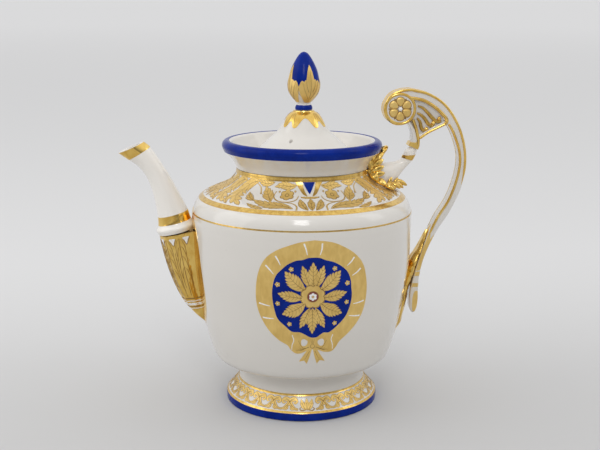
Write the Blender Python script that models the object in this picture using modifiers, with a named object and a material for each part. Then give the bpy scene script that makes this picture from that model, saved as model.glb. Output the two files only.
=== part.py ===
# A footed porcelain teapot with a swan-necked spout, a scroll handle and a loose lid.
# Run with: blender --background --python part.py
#
# Axes: +Z up, the foot stands on z = 0. The spout points to -X and the handle to +X.
# The world origin is under the middle of the whole teapot; the pot itself is turned about
# the vertical line at x = POT_AXIS_X. Every outline below is measured from that line.

import math

import bmesh
import bpy
from mathutils import Vector

MM = 0.001

# Driving dimensions, in millimetres.
POT_AXIS_X = 5.25
GAP = 0.3
TURNED_STEPS = 48
WALL = 4.0

FOOT_RADIUS = 48.0
FOOT_HEIGHT = 24.6
NECK_HEIGHT = 149.3
RIM_RADIUS = 49.5
RIM_ROLL = 3.2
RIM_HEIGHT = 166.4

LID_OFFSET = 1.0
LID_SEAT_HEIGHT = 155.4
LID_RADIUS = 37.0
LID_TOP_HEIGHT = 184.3
TEAPOT_HEIGHT = 220.0
VENT_RADIUS = 1.1
VENT_PLACE = (-9.2, -18.4)

SPOUT_WALL = 2.6
STRAINER_HOLE_RADIUS = 1.7
STRAINER_ROWS = (74.0, 81.0, 88.0, 95.0)
STRAINER_COLUMNS = (-5.0, 0.0, 5.0)

HANDLE_WIDTH = 9.5
WEB_RECESS = 1.8
SCROLL_CENTRE = (60.2, 185.2)
SCROLL_RADIUS = 10.1
ROSETTE_RADIUS = 6.8
ROSETTE_PETALS = 6
ROSETTE_THICKNESS = 1.2

SHOULDER_LEAVES = [
    # name, root, curled tip, rise over the shoulder, half width
    ("shoulder_leaf_front", (49, -9.5, 139.5), (55.5, -14.5, 136.0), 2.6, 4.0),
    ("shoulder_leaf_back", (49, 9.5, 139.5), (55.5, 14.5, 136.0), 2.6, 4.0),
    ("shoulder_leaf_outer", (62.6, 0, 138.0), (65.6, 0, 134.4), 3.0, 4.4),
]

PORCELAIN = ("porcelain", (0.86, 0.85, 0.82), 0.12, 0.0)
COBALT = ("cobalt_glaze", (0.012, 0.03, 0.30), 0.10, 0.0)
GILT = ("gilding", (0.72, 0.50, 0.17), 0.22, 1.0)


# Scene, materials and collections

def clear_scene():
    for obj in list(bpy.data.objects):
        bpy.data.objects.remove(obj, do_unlink=True)


def new_collection(name):
    collection = bpy.data.collections.new(name)
    bpy.context.scene.collection.children.link(collection)
    return collection


def material(recipe):
    name, colour, roughness, metallic = recipe
    made = bpy.data.materials.get(name)
    if made is None:
        made = bpy.data.materials.new(name)
        made.use_nodes = True
        shader = made.node_tree.nodes["Principled BSDF"]
        shader.inputs["Base Color"].default_value = (*colour, 1.0)
        shader.inputs["Roughness"].default_value = roughness
        shader.inputs["Metallic"].default_value = metallic
    return made


def new_object(name, mesh, parent, recipe, collection):
    obj = bpy.data.objects.new(name, mesh)
    collection.objects.link(obj)
    obj.parent = parent
    if recipe is not None:
        mesh.materials.append(material(recipe))
    return obj


def new_empty(name, x, z):
    empty = bpy.data.objects.new(name, None)
    parts.objects.link(empty)
    empty.location = (x * MM, 0, z * MM)
    return empty


def cut(target, cutter):
    cutter.hide_render = True
    cutter.display_type = "WIRE"
    boolean = target.modifiers.new("cut_" + cutter.name, "BOOLEAN")
    boolean.operation = "DIFFERENCE"
    boolean.solver = "EXACT"
    boolean.object = cutter


# Outlines

def through(points, spans=2):
    """A smooth curve through the points, with the given number of steps between neighbours."""
    ends = [2 * Vector(points[0]) - Vector(points[1]), 2 * Vector(points[-1]) - Vector(points[-2])]
    stops = [ends[0], *map(Vector, points), ends[1]]
    curve = []
    for a, b, c, d in zip(stops, stops[1:], stops[2:], stops[3:]):
        for step in range(spans):
            t = step / spans
            curve.append(0.5 * (2 * b + (c - a) * t + (2 * a - 5 * b + 4 * c - d) * t ** 2
                                + (3 * b - a - 3 * c + d) * t ** 3))
    return [tuple(point) for point in curve] + [tuple(points[-1])]


def arc(centre, radius, start, end, steps):
    """Points of an arc, from the start angle to the end angle in degrees."""
    angles = [math.radians(start + (end - start) * i / steps) for i in range(steps + 1)]
    return [(centre[0] + radius * math.cos(a), centre[1] + radius * math.sin(a)) for a in angles]


def grown(profile, distance):
    """A turned profile that runs down the outer side, moved outwards by the distance."""
    moved = []
    for i, (r, z) in enumerate(profile):
        before = Vector(profile[max(i - 1, 0)])
        after = Vector(profile[min(i + 1, len(profile) - 1)])
        along = (after - before).normalized()
        moved.append((r - along.y * distance, z + along.x * distance))
    return moved


# Solids

def turned(name, profile, parent, recipe, collection, closed=True, steps=TURNED_STEPS):
    """A solid turned about the parent's vertical axis. Radii and heights in millimetres."""
    mesh = bpy.data.meshes.new(name)
    edges = [(i, i + 1) for i in range(len(profile) - 1)]
    if closed:
        edges.append((len(profile) - 1, 0))
    mesh.from_pydata([(r * MM, 0, z * MM) for r, z in profile], edges, [])
    obj = new_object(name, mesh, parent, recipe, collection)
    screw = obj.modifiers.new("turn", "SCREW")
    screw.axis = "Z"
    screw.steps = steps
    screw.render_steps = steps
    screw.use_merge_vertices = True
    screw.merge_threshold = 0.00005
    screw.use_smooth_shade = True
    return obj


def loft(name, rings, parent, recipe, collection, closed=False):
    """A skin over rings of equal length: capped at both ends, or joined end to end if closed."""
    bm = bmesh.new()
    rows = [[bm.verts.new(Vector(point) * MM) for point in ring] for ring in rings]
    pairs = list(zip(rows, rows[1:]))
    if closed:
        pairs.append((rows[-1], rows[0]))
    else:
        bm.faces.new(rows[0])
        bm.faces.new(rows[-1])
    count = len(rows[0])
    for near, far in pairs:
        for i in range(count):
            j = (i + 1) % count
            bm.faces.new((near[i], near[j], far[j], far[i]))
    bmesh.ops.recalc_face_normals(bm, faces=bm.faces)
    mesh = bpy.data.meshes.new(name)
    bm.to_mesh(mesh)
    bm.free()
    mesh.shade_smooth()
    mesh.set_sharp_from_angle(angle=math.radians(40))
    return new_object(name, mesh, parent, recipe, collection)


def plate(name, outline, near, far, parent, recipe, collection):
    """A flat outline in X and Z, made thick along Y from near to far."""
    bm = bmesh.new()
    face = bm.faces.new([bm.verts.new((x * MM, near * MM, z * MM)) for x, z in outline])
    extruded = bmesh.ops.extrude_face_region(bm, geom=[face])["geom"]
    verts = [item for item in extruded if isinstance(item, bmesh.types.BMVert)]
    bmesh.ops.translate(bm, verts=verts, vec=(0, (far - near) * MM, 0))
    bmesh.ops.recalc_face_normals(bm, faces=bm.faces)
    mesh = bpy.data.meshes.new(name)
    bm.to_mesh(mesh)
    bm.free()
    mesh.shade_smooth()
    mesh.set_sharp_from_angle(angle=math.radians(40))
    return new_object(name, mesh, parent, recipe, collection)


def oval(left, right, half_width, sides=16):
    """A ring across the plane y = 0, through the left and right points given as (x, z)."""
    middle = (Vector(left) + Vector(right)) / 2
    reach = (Vector(right) - Vector(left)) / 2
    ring = []
    for i in range(sides):
        angle = 2 * math.pi * i / sides
        ring.append((middle.x + reach.x * math.cos(angle), half_width * math.sin(angle),
                     middle.y + reach.y * math.cos(angle)))
    return ring


def horseshoe(front, back, half_width, sides=10):
    """A ring with a round end at the front point and straight sides running to the back."""
    front = Vector(front)
    along = (Vector(back) - front).normalized()
    ring = []
    for i in range(sides + 1):
        angle = math.pi * (i / sides - 0.5)
        place = front + along * half_width * (1 - math.cos(angle))
        ring.append((place.x, half_width * math.sin(angle), place.y))
    ring.append((back[0], half_width, back[1]))
    ring.append((back[0], -half_width, back[1]))
    return ring


# The pot

def body_outer():
    """The outside of the body, from the neck down to where it meets the foot."""
    neck = through([(40.6, NECK_HEIGHT - GAP / 2), (41.6, 145.1), (46.7, 139.8), (55.5, 135.8),
                    (61.9, 132.8), (66.1, 128.8), (68.3, 122.5), (68.6, 114.0)])
    side = through([(68.6, 114.0), (67.4, 89.0), (63.7, 63.0), (60.9, 49.6), (57.6, 37.5),
                    (54.4, 30.3), (48.0, 27.2), (41.2, FOOT_HEIGHT + GAP)])
    return neck + side[1:]


def body_inner():
    """The inside of the body, from the middle of its floor up to the neck."""
    floor = FOOT_HEIGHT + GAP + WALL + 1.5
    return [(0.0, floor), (40.0, floor + 0.8)] + through(
        [(50.5, 35.0), (55.5, 44.5), (59.7, 63.0), (63.4, 89.0), (64.6, 114.0), (63.0, 126.0),
         (57.5, 131.0), (46.0, 136.2), (38.4, 142.0), (36.6, NECK_HEIGHT - GAP / 2)], 1)


def collar_outer():
    """The outside of the collar under the rolled rim, from the roll down to the neck."""
    return through([(48.3, 159.7), (45.0, 156.6), (42.2, 153.0), (40.7, NECK_HEIGHT + GAP / 2)], 2)


def rim_roll():
    centre = (RIM_RADIUS - RIM_ROLL, RIM_HEIGHT - RIM_ROLL)
    return arc(centre, RIM_ROLL, 160, -30, 10)


def make_body():
    underside = [(36.0, FOOT_HEIGHT + GAP), (0.0, FOOT_HEIGHT + GAP)]
    profile = body_inner() + body_outer() + underside
    body = turned("body", profile, pot_axis, PORCELAIN, parts, closed=False)
    cut(body, make_strainer_drill())
    return body


def make_strainer_drill():
    """One mesh of round drills that pierce the wall behind the spout."""
    bm = bmesh.new()
    for z in STRAINER_ROWS:
        for y in STRAINER_COLUMNS:
            made = bmesh.ops.create_cone(bm, cap_ends=True, segments=10,
                                         radius1=STRAINER_HOLE_RADIUS * MM,
                                         radius2=STRAINER_HOLE_RADIUS * MM, depth=24 * MM)
            turn = Vector((0, 0, 1)).rotation_difference(Vector((1, 0, 0))).to_matrix()
            bmesh.ops.rotate(bm, verts=made["verts"], matrix=turn)
            bmesh.ops.translate(bm, verts=made["verts"], vec=Vector((-64, y, z)) * MM)
    mesh = bpy.data.meshes.new("strainer_drill")
    bm.to_mesh(mesh)
    bm.free()
    return new_object("strainer_drill", mesh, pot_axis, None, cutters)


def make_foot():
    """A spreading foot: a cove under the body, a sloping shoulder and a flat standing ring."""
    outer = through([(40.9, FOOT_HEIGHT), (39.5, 19.5), (40.1, 14.1)], 2)
    shoulder = through([(40.1, 14.1), (43.6, 9.6), (47.4, 5.5)], 2)
    base = [(FOOT_RADIUS, 4.2), (FOOT_RADIUS, 1.0), (FOOT_RADIUS - 0.8, 0.0), (44.0, 0.0)]
    inside = [(43.0, 0.9), (42.2, 5.0), (38.0, 10.5), (35.4, 15.0), (34.8, FOOT_HEIGHT)]
    return turned("foot", outer + shoulder[1:] + base + inside, pot_axis, PORCELAIN, parts)


def make_collar():
    """The flared collar: a rolled rim outside, and inside a ledge that the lid rests on."""
    seat = LID_SEAT_HEIGHT
    inside = [(34.8, NECK_HEIGHT + GAP / 2), (34.4, seat - 0.6), (35.0, seat), (38.3, seat),
              (38.9, seat + 0.6), (40.8, 159.4), (42.4, 162.2)]
    profile = rim_roll() + collar_outer() + inside
    return turned("neck_collar", profile, pot_axis, PORCELAIN, parts)


def make_pot_envelope():
    """The pot's outer surface grown by the working gap. It trims everything luted on the pot."""
    skin = grown(rim_roll()[4:] + collar_outer() + body_outer(), GAP)
    profile = [(0.0, RIM_HEIGHT + 1)] + skin + [(0.0, FOOT_HEIGHT)]
    return turned("pot_envelope", profile, pot_axis, None, cutters, closed=False)


# The lid

def make_lid():
    """A hollow-sided cone with a locating skirt underneath."""
    seat = LID_SEAT_HEIGHT + GAP
    top = [(0.0, LID_TOP_HEIGHT), (5.9, LID_TOP_HEIGHT)]
    slope = through([(6.6, 183.6), (10.0, 179.7), (13.8, 173.9), (20.0, 168.0), (28.4, 160.9),
                     (LID_RADIUS - 1.0, 157.3)], 2)
    edge = [(LID_RADIUS, seat + 0.9), (LID_RADIUS - 0.3, seat), (33.0, seat)]
    skirt = [(32.6, 147.2), (31.8, 146.4), (30.6, 146.4), (29.9, 147.2), (29.6, 154.6)]
    hollow = through([(25.5, 159.0), (16.4, 167.0), (10.6, 173.0), (7.0, 178.0)], 1)
    profile = top + slope + edge + skirt + hollow + [(0.0, 179.8)]
    lid = turned("lid", profile, lid_axis, PORCELAIN, parts, closed=False, steps=40)
    drill = bmesh.new()
    bmesh.ops.create_cone(drill, cap_ends=True, segments=12, radius1=VENT_RADIUS * MM,
                          radius2=VENT_RADIUS * MM, depth=16 * MM)
    bmesh.ops.translate(drill, verts=drill.verts,
                        vec=Vector((VENT_PLACE[0], VENT_PLACE[1], 166)) * MM)
    mesh = bpy.data.meshes.new("vent_drill")
    drill.to_mesh(mesh)
    drill.free()
    cut(lid, new_object("vent_drill", mesh, lid_axis, None, cutters))
    return lid


def make_knob():
    """A pointed bud on a narrow collar."""
    bud = through([(0.0, TEAPOT_HEIGHT), (3.8, 217.0), (6.6, 212.4), (8.6, 207.3), (9.8, 199.8),
                   (8.6, 194.6), (4.5, 189.2), (4.4, 188.0), (5.2, 186.2)], 2)
    foot = LID_TOP_HEIGHT + GAP
    return turned("lid_knob", bud + [(5.1, foot), (0.0, foot)], lid_axis, COBALT, parts,
                  closed=False, steps=24)


# The spout

SPOUT_STATIONS = [
    # breast edge x, z, throat edge x, z, half width
    (-89.4, 107.2, -67.2, 112.4, 11.1),
    (-90.9, 110.0, -66.6, 115.2, 12.0),
    (-89.6, 113.2, -69.4, 118.0, 10.2),
    (-89.8, 118.5, -71.2, 123.3, 9.4),
    (-90.9, 126.1, -74.2, 129.6, 8.4),
    (-92.5, 133.7, -77.8, 136.6, 7.5),
    (-94.7, 140.6, -81.8, 144.2, 6.7),
    (-97.6, 146.2, -85.9, 151.1, 6.3),
    (-101.7, 151.0, -89.6, 156.9, 6.3),
    (-106.6, 154.4, -93.4, 162.4, 6.5),
    (-112.8, 158.8, -97.2, 165.6, 6.6),
]

SOCKET_STATIONS = [
    # front x, z, back z, half width
    (-88.3, 106.8, 113.6, 11.0),
    (-86.6, 98.5, 104.6, 10.6),
    (-83.6, 86.8, 91.6, 9.8),
    (-79.3, 75.0, 78.6, 8.4),
    (-73.9, 64.2, 66.6, 6.2),
    (-68.0, 56.4, 58.0, 3.6),
    (-61.6, 50.6, 51.4, 1.0),
]
SOCKET_BACK_X = -57.0


def thinned(station, wall):
    """The inside of a spout station: both edges brought in by the wall."""
    left = Vector(station[0:2])
    right = Vector(station[2:4])
    inward = (right - left).normalized() * wall
    return (*(left + inward), *(right - inward), station[4] - wall)


def make_spout():
    """A bent, tapering tube with a beaked mouth and a bead at its root."""
    stations = through(SPOUT_STATIONS, 2)
    outside = [oval(s[0:2], s[2:4], s[4]) for s in stations]
    bore = through([thinned(s, SPOUT_WALL + extra) for s, extra in zip(SPOUT_STATIONS, (1, 1.6))]
                   + [thinned(s, SPOUT_WALL) for s in SPOUT_STATIONS[2:]], 2)
    inside = [oval(s[0:2], s[2:4], s[4]) for s in bore]
    spout = loft("spout", outside + inside[::-1], pot_axis, PORCELAIN, parts, closed=True)
    cut(spout, pot_envelope)
    return spout


def make_spout_socket():
    """The leaf-shaped socket that carries the spout, hollow and open to the strainer holes."""
    def rings(front_in, side_in, rise, stations):
        return [horseshoe((x + front_in, z + rise), (SOCKET_BACK_X, back + rise), w - side_in)
                for x, z, back, w in stations]

    solid = through(SOCKET_STATIONS, 2)
    socket = loft("spout_socket", rings(0, 0, 0, solid), pot_axis, GILT, parts)
    hollow = [(SOCKET_STATIONS[0][0], 112.0, 118.8, SOCKET_STATIONS[0][3]), *SOCKET_STATIONS[:5]]
    cutter = loft("socket_hollow", rings(3.0, 3.0, 0, hollow), pot_axis, None, cutters)
    cut(socket, pot_envelope)
    cut(socket, cutter)
    return socket


# The handle

def scroll_outline():
    """The rolled end of the strap, from under the scroll round its left side to the top."""
    turns = arc(SCROLL_CENTRE, SCROLL_RADIUS, -62, -200, 10)
    return turns + through([(52.3, 191.6), (55.9, 195.0), (61.4, 196.9), (67.0, 197.4)], 2)[1:]


def strap_outline():
    """The whole handle seen from the side, clockwise from under the scroll."""
    spine = through([(67.0, 197.4), (79.0, 194.2), (90.0, 186.3), (98.6, 171.9), (102.4, 155.0),
                     (100.4, 137.3), (93.3, 120.7), (84.8, 107.3), (78.1, 92.5), (75.0, 80.0),
                     (74.0, 66.2), (73.4, 58.6)], 2)
    heel = [(71.6, 54.6), (70.2, 55.0)]
    inner = through([(69.3, 58.0), (69.2, 68.0), (71.4, 79.2), (74.9, 91.5), (78.6, 103.0),
                     (84.5, 116.4), (91.8, 128.6), (96.9, 143.7), (97.7, 156.4), (93.7, 169.0),
                     (90.2, 175.2)], 2)
    web = through([(88.6, 175.3), (80.4, 171.8), (74.4, 168.2), (72.3, 165.4)], 1)
    neck = through([(71.7, 163.0), (67.4, 161.2), (68.0, 165.0), (68.0, 170.2), (66.4, 174.4)], 1)
    return scroll_outline() + spine[1:] + heel + inner + web + neck


def web_outline():
    """The sunk panel between the scroll, the strap and the neck."""
    rounded = arc(SCROLL_CENTRE, SCROLL_RADIUS, 36, -52, 5)
    edge = [(72.0, 168.6), (82.0, 174.6), (88.2, 177.4), (86.4, 181.2), (80.0, 186.6), (73.5, 189.6)]
    return rounded + edge


def make_handle_loop():
    half = HANDLE_WIDTH / 2
    loop = plate("handle_loop", strap_outline(), -half, half, pot_axis, PORCELAIN, parts)
    for side, name in ((-1, "front"), (1, "back")):
        near = sorted((side * (half - WEB_RECESS), side * (half + 3)))
        cut(loop, plate("web_recess_" + name, web_outline(), *near, pot_axis, None, cutters))
    return loop


def make_handle_arm():
    """The stub between the loop and the pot, with a bead at its outer end and a flared root."""
    stations = [(67.0, 160.8, 71.6, 162.8, 3.4), (64.6, 158.9, 72.0, 160.4, 4.3),
                (63.4, 156.6, 71.6, 157.4, 4.3), (62.6, 154.6, 69.2, 152.6, 3.6),
                (60.0, 152.6, 66.4, 149.4, 3.6), (55.0, 151.6, 63.2, 145.6, 4.4),
                (48.0, 151.4, 59.4, 140.0, 6.0), (38.0, 152.2, 54.0, 130.0, 7.5)]
    rings = [oval(s[0:2], s[2:4], s[4], 14) for s in through(stations, 2)]
    arm = loft("handle_arm", rings, pot_axis, PORCELAIN, parts)
    cut(arm, pot_envelope)
    return arm


def make_rosette(name, side):
    """A flower boss on the scroll's face, with one rounded petal for each lobe, one of them on top."""
    face = side * (HANDLE_WIDTH / 2 + GAP)
    outline = []
    for i in range(ROSETTE_PETALS * 6):
        angle = 2 * math.pi * i / (ROSETTE_PETALS * 6)
        lobe = 0.80 + 0.20 * abs(math.sin(angle * ROSETTE_PETALS / 2))
        outline.append((SCROLL_CENTRE[0] + ROSETTE_RADIUS * lobe * math.cos(angle),
                        SCROLL_CENTRE[1] + ROSETTE_RADIUS * lobe * math.sin(angle)))
    near = sorted((face, face + side * ROSETTE_THICKNESS))
    return plate(name, outline, *near, pot_axis, GILT, parts)


def make_foot_leaf():
    """The long leaf under the loop: it lines the strap, then lies on the body down to its tip."""
    stations = [(79.0, 108.4, 80.0, 107.8, 0.8), (76.3, 102.6, 78.0, 102.0, 4.2),
                (73.4, 96.6, 76.0, 95.8, 6.6), (69.6, 90.6, 73.9, 89.6, 8.0),
                (65.0, 84.4, 72.2, 83.6, 8.5), (63.5, 78.6, 70.2, 78.0, 7.8),
                (62.5, 73.4, 68.0, 73.4, 6.6), (61.5, 68.0, 67.4, 68.0, 5.8),
                (60.5, 62.0, 67.6, 62.0, 6.0), (59.5, 54.6, 66.0, 54.6, 5.2),
                (58.5, 47.4, 63.9, 47.4, 3.4), (58.0, 42.6, 61.0, 42.6, 0.9)]
    leaf = loft("handle_foot_leaf", [oval(s[0:2], s[2:4], s[4], 12) for s in stations],
                pot_axis, GILT, parts)
    cut(leaf, pot_envelope)
    return leaf


def make_rim_leaf():
    """The leaf that climbs the collar above the handle's root and curls out under the rim."""
    stations = [(40.0, 153.2, 49.6, 153.0, 3.0), (42.6, 156.0, 51.4, 155.6, 4.4),
                (45.6, 158.4, 52.6, 157.8, 3.6), (50.4, 160.2, 53.4, 159.6, 1.8),
                (52.6, 161.4, 53.8, 161.0, 0.7)]
    leaf = loft("rim_leaf", [oval(s[0:2], s[2:4], s[4], 10) for s in through(stations, 2)],
                pot_axis, GILT, parts)
    cut(leaf, pot_envelope)
    return leaf


def make_shoulder_leaf(name, start, end, rise, half_width):
    """A plump leaf lying on the shoulder, from its root beside the handle to its curled tip."""
    start = Vector(start)
    end = Vector(end)
    across = Vector((0, 0, 1)).cross(end - start).normalized()
    rings = []
    for along, width, height in ((0, 0.5, 0.7), (0.3, 0.9, 0.9), (0.6, 1.0, 1.0), (0.85, 0.75, 1.0),
                                 (1.0, 0.3, 0.6)):
        middle = start.lerp(end, along)
        ring = []
        for i in range(10):
            angle = 2 * math.pi * i / 10
            ring.append(middle + across * half_width * width * math.cos(angle)
                        + Vector((0, 0, rise * height * math.sin(angle))))
        rings.append(ring)
    leaf = loft(name, rings, pot_axis, GILT, parts)
    cut(leaf, pot_envelope)
    return leaf


clear_scene()
parts = new_collection("teapot")
cutters = new_collection("cutters")
pot_axis = new_empty("pot_axis", POT_AXIS_X, 0)
lid_axis = new_empty("lid_axis", POT_AXIS_X + LID_OFFSET, 0)
pot_envelope = make_pot_envelope()

make_body()
make_foot()
make_collar()
make_lid()
make_knob()
make_spout()
make_spout_socket()
make_handle_loop()
make_handle_arm()
make_rosette("rosette_front", -1)
make_rosette("rosette_back", 1)
make_foot_leaf()
make_rim_leaf()
for shoulder_leaf in SHOULDER_LEAVES:
    make_shoulder_leaf(*shoulder_leaf)
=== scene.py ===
import math

import bmesh
import bpy
import numpy as np
from mathutils import Matrix, Vector


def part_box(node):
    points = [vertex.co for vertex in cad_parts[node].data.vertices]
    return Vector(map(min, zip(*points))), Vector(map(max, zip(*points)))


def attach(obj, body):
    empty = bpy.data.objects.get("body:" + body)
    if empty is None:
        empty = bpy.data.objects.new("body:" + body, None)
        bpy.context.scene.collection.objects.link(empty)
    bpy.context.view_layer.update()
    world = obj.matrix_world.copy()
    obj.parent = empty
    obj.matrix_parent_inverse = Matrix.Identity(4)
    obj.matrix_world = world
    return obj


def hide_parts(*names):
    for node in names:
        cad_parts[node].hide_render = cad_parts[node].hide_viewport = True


for name in ("Cube", "Light", "Camera"):  # the startup file's own objects
    if name in bpy.data.objects:
        bpy.data.objects.remove(bpy.data.objects[name])

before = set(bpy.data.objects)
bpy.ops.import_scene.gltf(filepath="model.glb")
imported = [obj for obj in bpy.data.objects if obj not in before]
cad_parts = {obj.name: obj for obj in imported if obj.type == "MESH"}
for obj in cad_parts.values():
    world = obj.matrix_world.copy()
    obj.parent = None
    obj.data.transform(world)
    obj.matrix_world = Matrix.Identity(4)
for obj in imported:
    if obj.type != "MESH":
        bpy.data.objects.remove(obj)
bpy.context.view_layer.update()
print("frame loaded:", len(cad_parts), "nodes")

# Places from the frame. Outlines are in millimetres from the pot's axis, at x = potX

mm = 0.001


def middleX(node):
    low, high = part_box(node)
    return (low.x + high.x) / 2 / mm


potX = middleX("foot")
lidX = middleX("lid_knob")
footRadius = (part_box("foot")[1].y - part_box("foot")[0].y) / 2 / mm
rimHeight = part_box("neck_collar")[1].z / mm
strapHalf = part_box("handle_loop")[1].y / mm
frontTurn = 1.0  # degrees: the painted front sits a little towards the handle


# Shader helpers

class Wire:
    # one socket, so that shader maths reads as maths

    def __init__(self, board, socket):
        self.board = board
        self.socket = socket

    def maths(self, operation, first, second):
        return self.board.node("ShaderNodeMath", {"operation": operation}, {0: first, 1: second})

    def __add__(self, other):
        return self.maths("ADD", self, other)

    def __radd__(self, other):
        return self.maths("ADD", other, self)

    def __sub__(self, other):
        return self.maths("SUBTRACT", self, other)

    def __rsub__(self, other):
        return self.maths("SUBTRACT", other, self)

    def __mul__(self, other):
        return self.maths("MULTIPLY", self, other)

    def __rmul__(self, other):
        return self.maths("MULTIPLY", other, self)

    def __gt__(self, other):
        return self.maths("GREATER_THAN", self, other)


class Board:
    # the nodes of one material, or of the world

    def __init__(self, name, kind="materials"):
        self.material = getattr(bpy.data, kind).new(name)
        self.material.use_nodes = True
        self.tree = self.material.node_tree
        self.tree.nodes.clear()

    def node(self, kind, settings=None, sockets=None, out=0):
        made = self.tree.nodes.new(kind)
        for key, value in (settings or {}).items():
            if key == "stops":
                while len(made.color_ramp.elements) < len(value):
                    made.color_ramp.elements.new(0.5)
                for element, (position, colour) in zip(made.color_ramp.elements, value):
                    element.position = position
                    element.color = (*colour, 1)
            else:
                setattr(made, key, value)
        for key, value in (sockets or {}).items():
            if isinstance(value, Wire):
                self.tree.links.new(value.socket, made.inputs[key])
            else:
                made.inputs[key].default_value = value
        return Wire(self, made.outputs[out] if len(made.outputs) else None)

    def mix(self, factor, first, second):
        settings = {"data_type": "RGBA", "clamp_factor": True}
        return self.node("ShaderNodeMix", settings, {0: factor, 6: first, 7: second}, out=2)

    def noise(self, place, scale, detail=2.0, roughness=0.5, distortion=0.0):
        sockets = {"Vector": place, "Scale": scale, "Detail": detail, "Roughness": roughness,
                   "Distortion": distortion}
        return self.node("ShaderNodeTexNoise", {}, sockets)

    def span(self, value, low, high, kind="SMOOTHSTEP"):
        # 0 where the value is low and 1 where it is high
        return self.node("ShaderNodeMapRange", {"interpolation_type": kind},
                         {"Value": value, "From Min": low, "From Max": high})

    def bump(self, height, strength, distance):
        return self.node("ShaderNodeBump", {}, {"Strength": strength, "Distance": distance,
                                                "Height": height})

    def shade(self, sockets):
        shader = self.node("ShaderNodeBsdfPrincipled", {}, sockets)
        self.node("ShaderNodeOutputMaterial", {}, {"Surface": shader})
        return self.material


def opaque(colour):
    return (*colour, 1.0)


# Finishes

porcelainLook = {
    "tones": {"porcelain": 0.97, "brightPorcelain": 1.19},  # painted light: a lighter copy of the glaze for the spout and the arm
    "white": (0.765, 0.735, 0.685),
    "cool": (0.725, 0.698, 0.652),
    "speck": (0.42, 0.36, 0.28),
    "cloudSize": 0.045,
    "roughness": 0.14,
    "waviness": 0.05,
    "glaze": 0.55,
}


def makePorcelain(name, tone):
    look = porcelainLook
    board = Board(name)
    place = board.node("ShaderNodeTexCoord", out="Object")
    cloud = board.noise(place, 1 / look["cloudSize"], 3)
    orange = board.noise(place, 420, 2)  # the glaze's faint orange peel
    dust = board.noise(place, 900, 1)
    specks = (dust > 0.80) * 0.35
    white, cool = (opaque(tuple(tone * v for v in look[key])) for key in ("white", "cool"))
    body = board.mix(cloud, white, cool)
    colour = board.mix(specks, body, opaque(look["speck"]))
    rough = look["roughness"] + (cloud - 0.5) * 0.10
    bump = board.bump(orange, look["waviness"], 0.0004)
    return board.shade({"Base Color": colour, "Roughness": rough, "Normal": bump,
                        "Coat Weight": look["glaze"], "Coat Roughness": 0.06, "Coat IOR": 1.45})


cobaltLook = {
    "deep": (0.0012, 0.0145, 0.185),
    "thin": (0.0022, 0.0240, 0.270),
    "poolSize": 0.012,
    "roughness": 0.20,
}


def makeCobalt():
    look = cobaltLook
    board = Board("cobaltGlaze")
    place = board.node("ShaderNodeTexCoord", out="Object")
    pool = board.noise(place, 1 / look["poolSize"], 3, 0.6)
    brush = board.noise(place, 260, 2, distortion=0.8)
    depth = board.span(pool * 0.7 + brush * 0.3, 0.38, 0.66, "LINEAR")
    colour = board.mix(depth, opaque(look["deep"]), opaque(look["thin"]))
    rough = look["roughness"] + (brush - 0.5) * 0.12
    bump = board.bump(brush, 0.08, 0.0003)
    return board.shade({"Base Color": colour, "Roughness": rough, "Normal": bump,
                        "Specular IOR Level": 0.05, "Coat Weight": 0.16, "Coat Roughness": 0.04,
                        "Coat IOR": 1.4})


goldLooks = {
    # name: bright colour, dull colour, roughness, metal, streak size, bump strength, bump distance
    "flatGold": ((0.86, 0.610, 0.210), (0.72, 0.485, 0.145), 0.38, 0.68, 0.0030, 0.10, 0.00015),
    "reliefGold": ((0.90, 0.635, 0.190), (0.70, 0.43, 0.090), 0.15, 1.0, 0.0040, 0.14, 0.00030),
    "goldLine": ((0.84, 0.580, 0.175), (0.56, 0.345, 0.080), 0.20, 0.92, 0.0022, 0.10, 0.00015),
    # a darker copy of the relief gold: painted shade for the curls on the handle
    "paintedShadeGold": ((0.66, 0.440, 0.115), (0.42, 0.265, 0.060), 0.18, 1.0, 0.0040, 0.14, 0.00030),
    "goldShade": ((0.40, 0.245, 0.080), (0.27, 0.160, 0.048), 0.42, 0.60, 0.0016, 0.06, 0.00010),
}


def makeGold(name):
    bright, dull, roughness, metal, streak, strength, distance = goldLooks[name]
    board = Board(name)
    place = board.node("ShaderNodeTexCoord", out="Object")
    stretched = board.node("ShaderNodeMapping", {"vector_type": "POINT"},
                           {"Vector": place, "Scale": (1.0, 1.0, 0.45)})
    sweep = board.noise(stretched, 1 / streak, 4, distortion=0.5)
    patch = board.noise(place, 60, 2)
    fine = board.noise(place, 1600, 2)
    wear = board.span(sweep * 0.6 + patch * 0.4, 0.36, 0.64, "LINEAR")
    colour = board.mix(wear, opaque(bright), opaque(dull))
    rough = roughness + (sweep - 0.5) * 0.22 + (fine - 0.5) * 0.08
    bump = board.bump(sweep * 0.8 + fine * 0.2, strength, distance)
    return board.shade({"Base Color": colour, "Roughness": rough, "Normal": bump,
                        "Metallic": metal})


enamelLook = {"ruby": (0.16, 0.022, 0.012), "white": (0.74, 0.72, 0.69)}


def makeEnamel(name, tint):
    board = Board(name)
    place = board.node("ShaderNodeTexCoord", out="Object")
    drift = board.noise(place, 900, 3)
    paler = tuple(min(1.0, value * 1.5 + 0.01) for value in tint)
    colour = board.mix(drift, opaque(tint), opaque(paler))
    rough = 0.2 + drift * 0.15
    return board.shade({"Base Color": colour, "Roughness": rough, "Coat Weight": 0.5,
                        "Coat Roughness": 0.08})


finishes = {"cobalt": makeCobalt(),
            "ruby": makeEnamel("rubyEnamel", enamelLook["ruby"]),
            "white": makeEnamel("whiteEnamel", enamelLook["white"])}
for name, tone in porcelainLook["tones"].items():
    finishes[name] = makePorcelain(name, tone)
for name in goldLooks:
    finishes[name] = makeGold(name)
print("finishes made:", ", ".join(finishes))


# Mesh helpers

sunk = 0.05  # millimetres that laid ornament reaches into the surface under it


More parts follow.
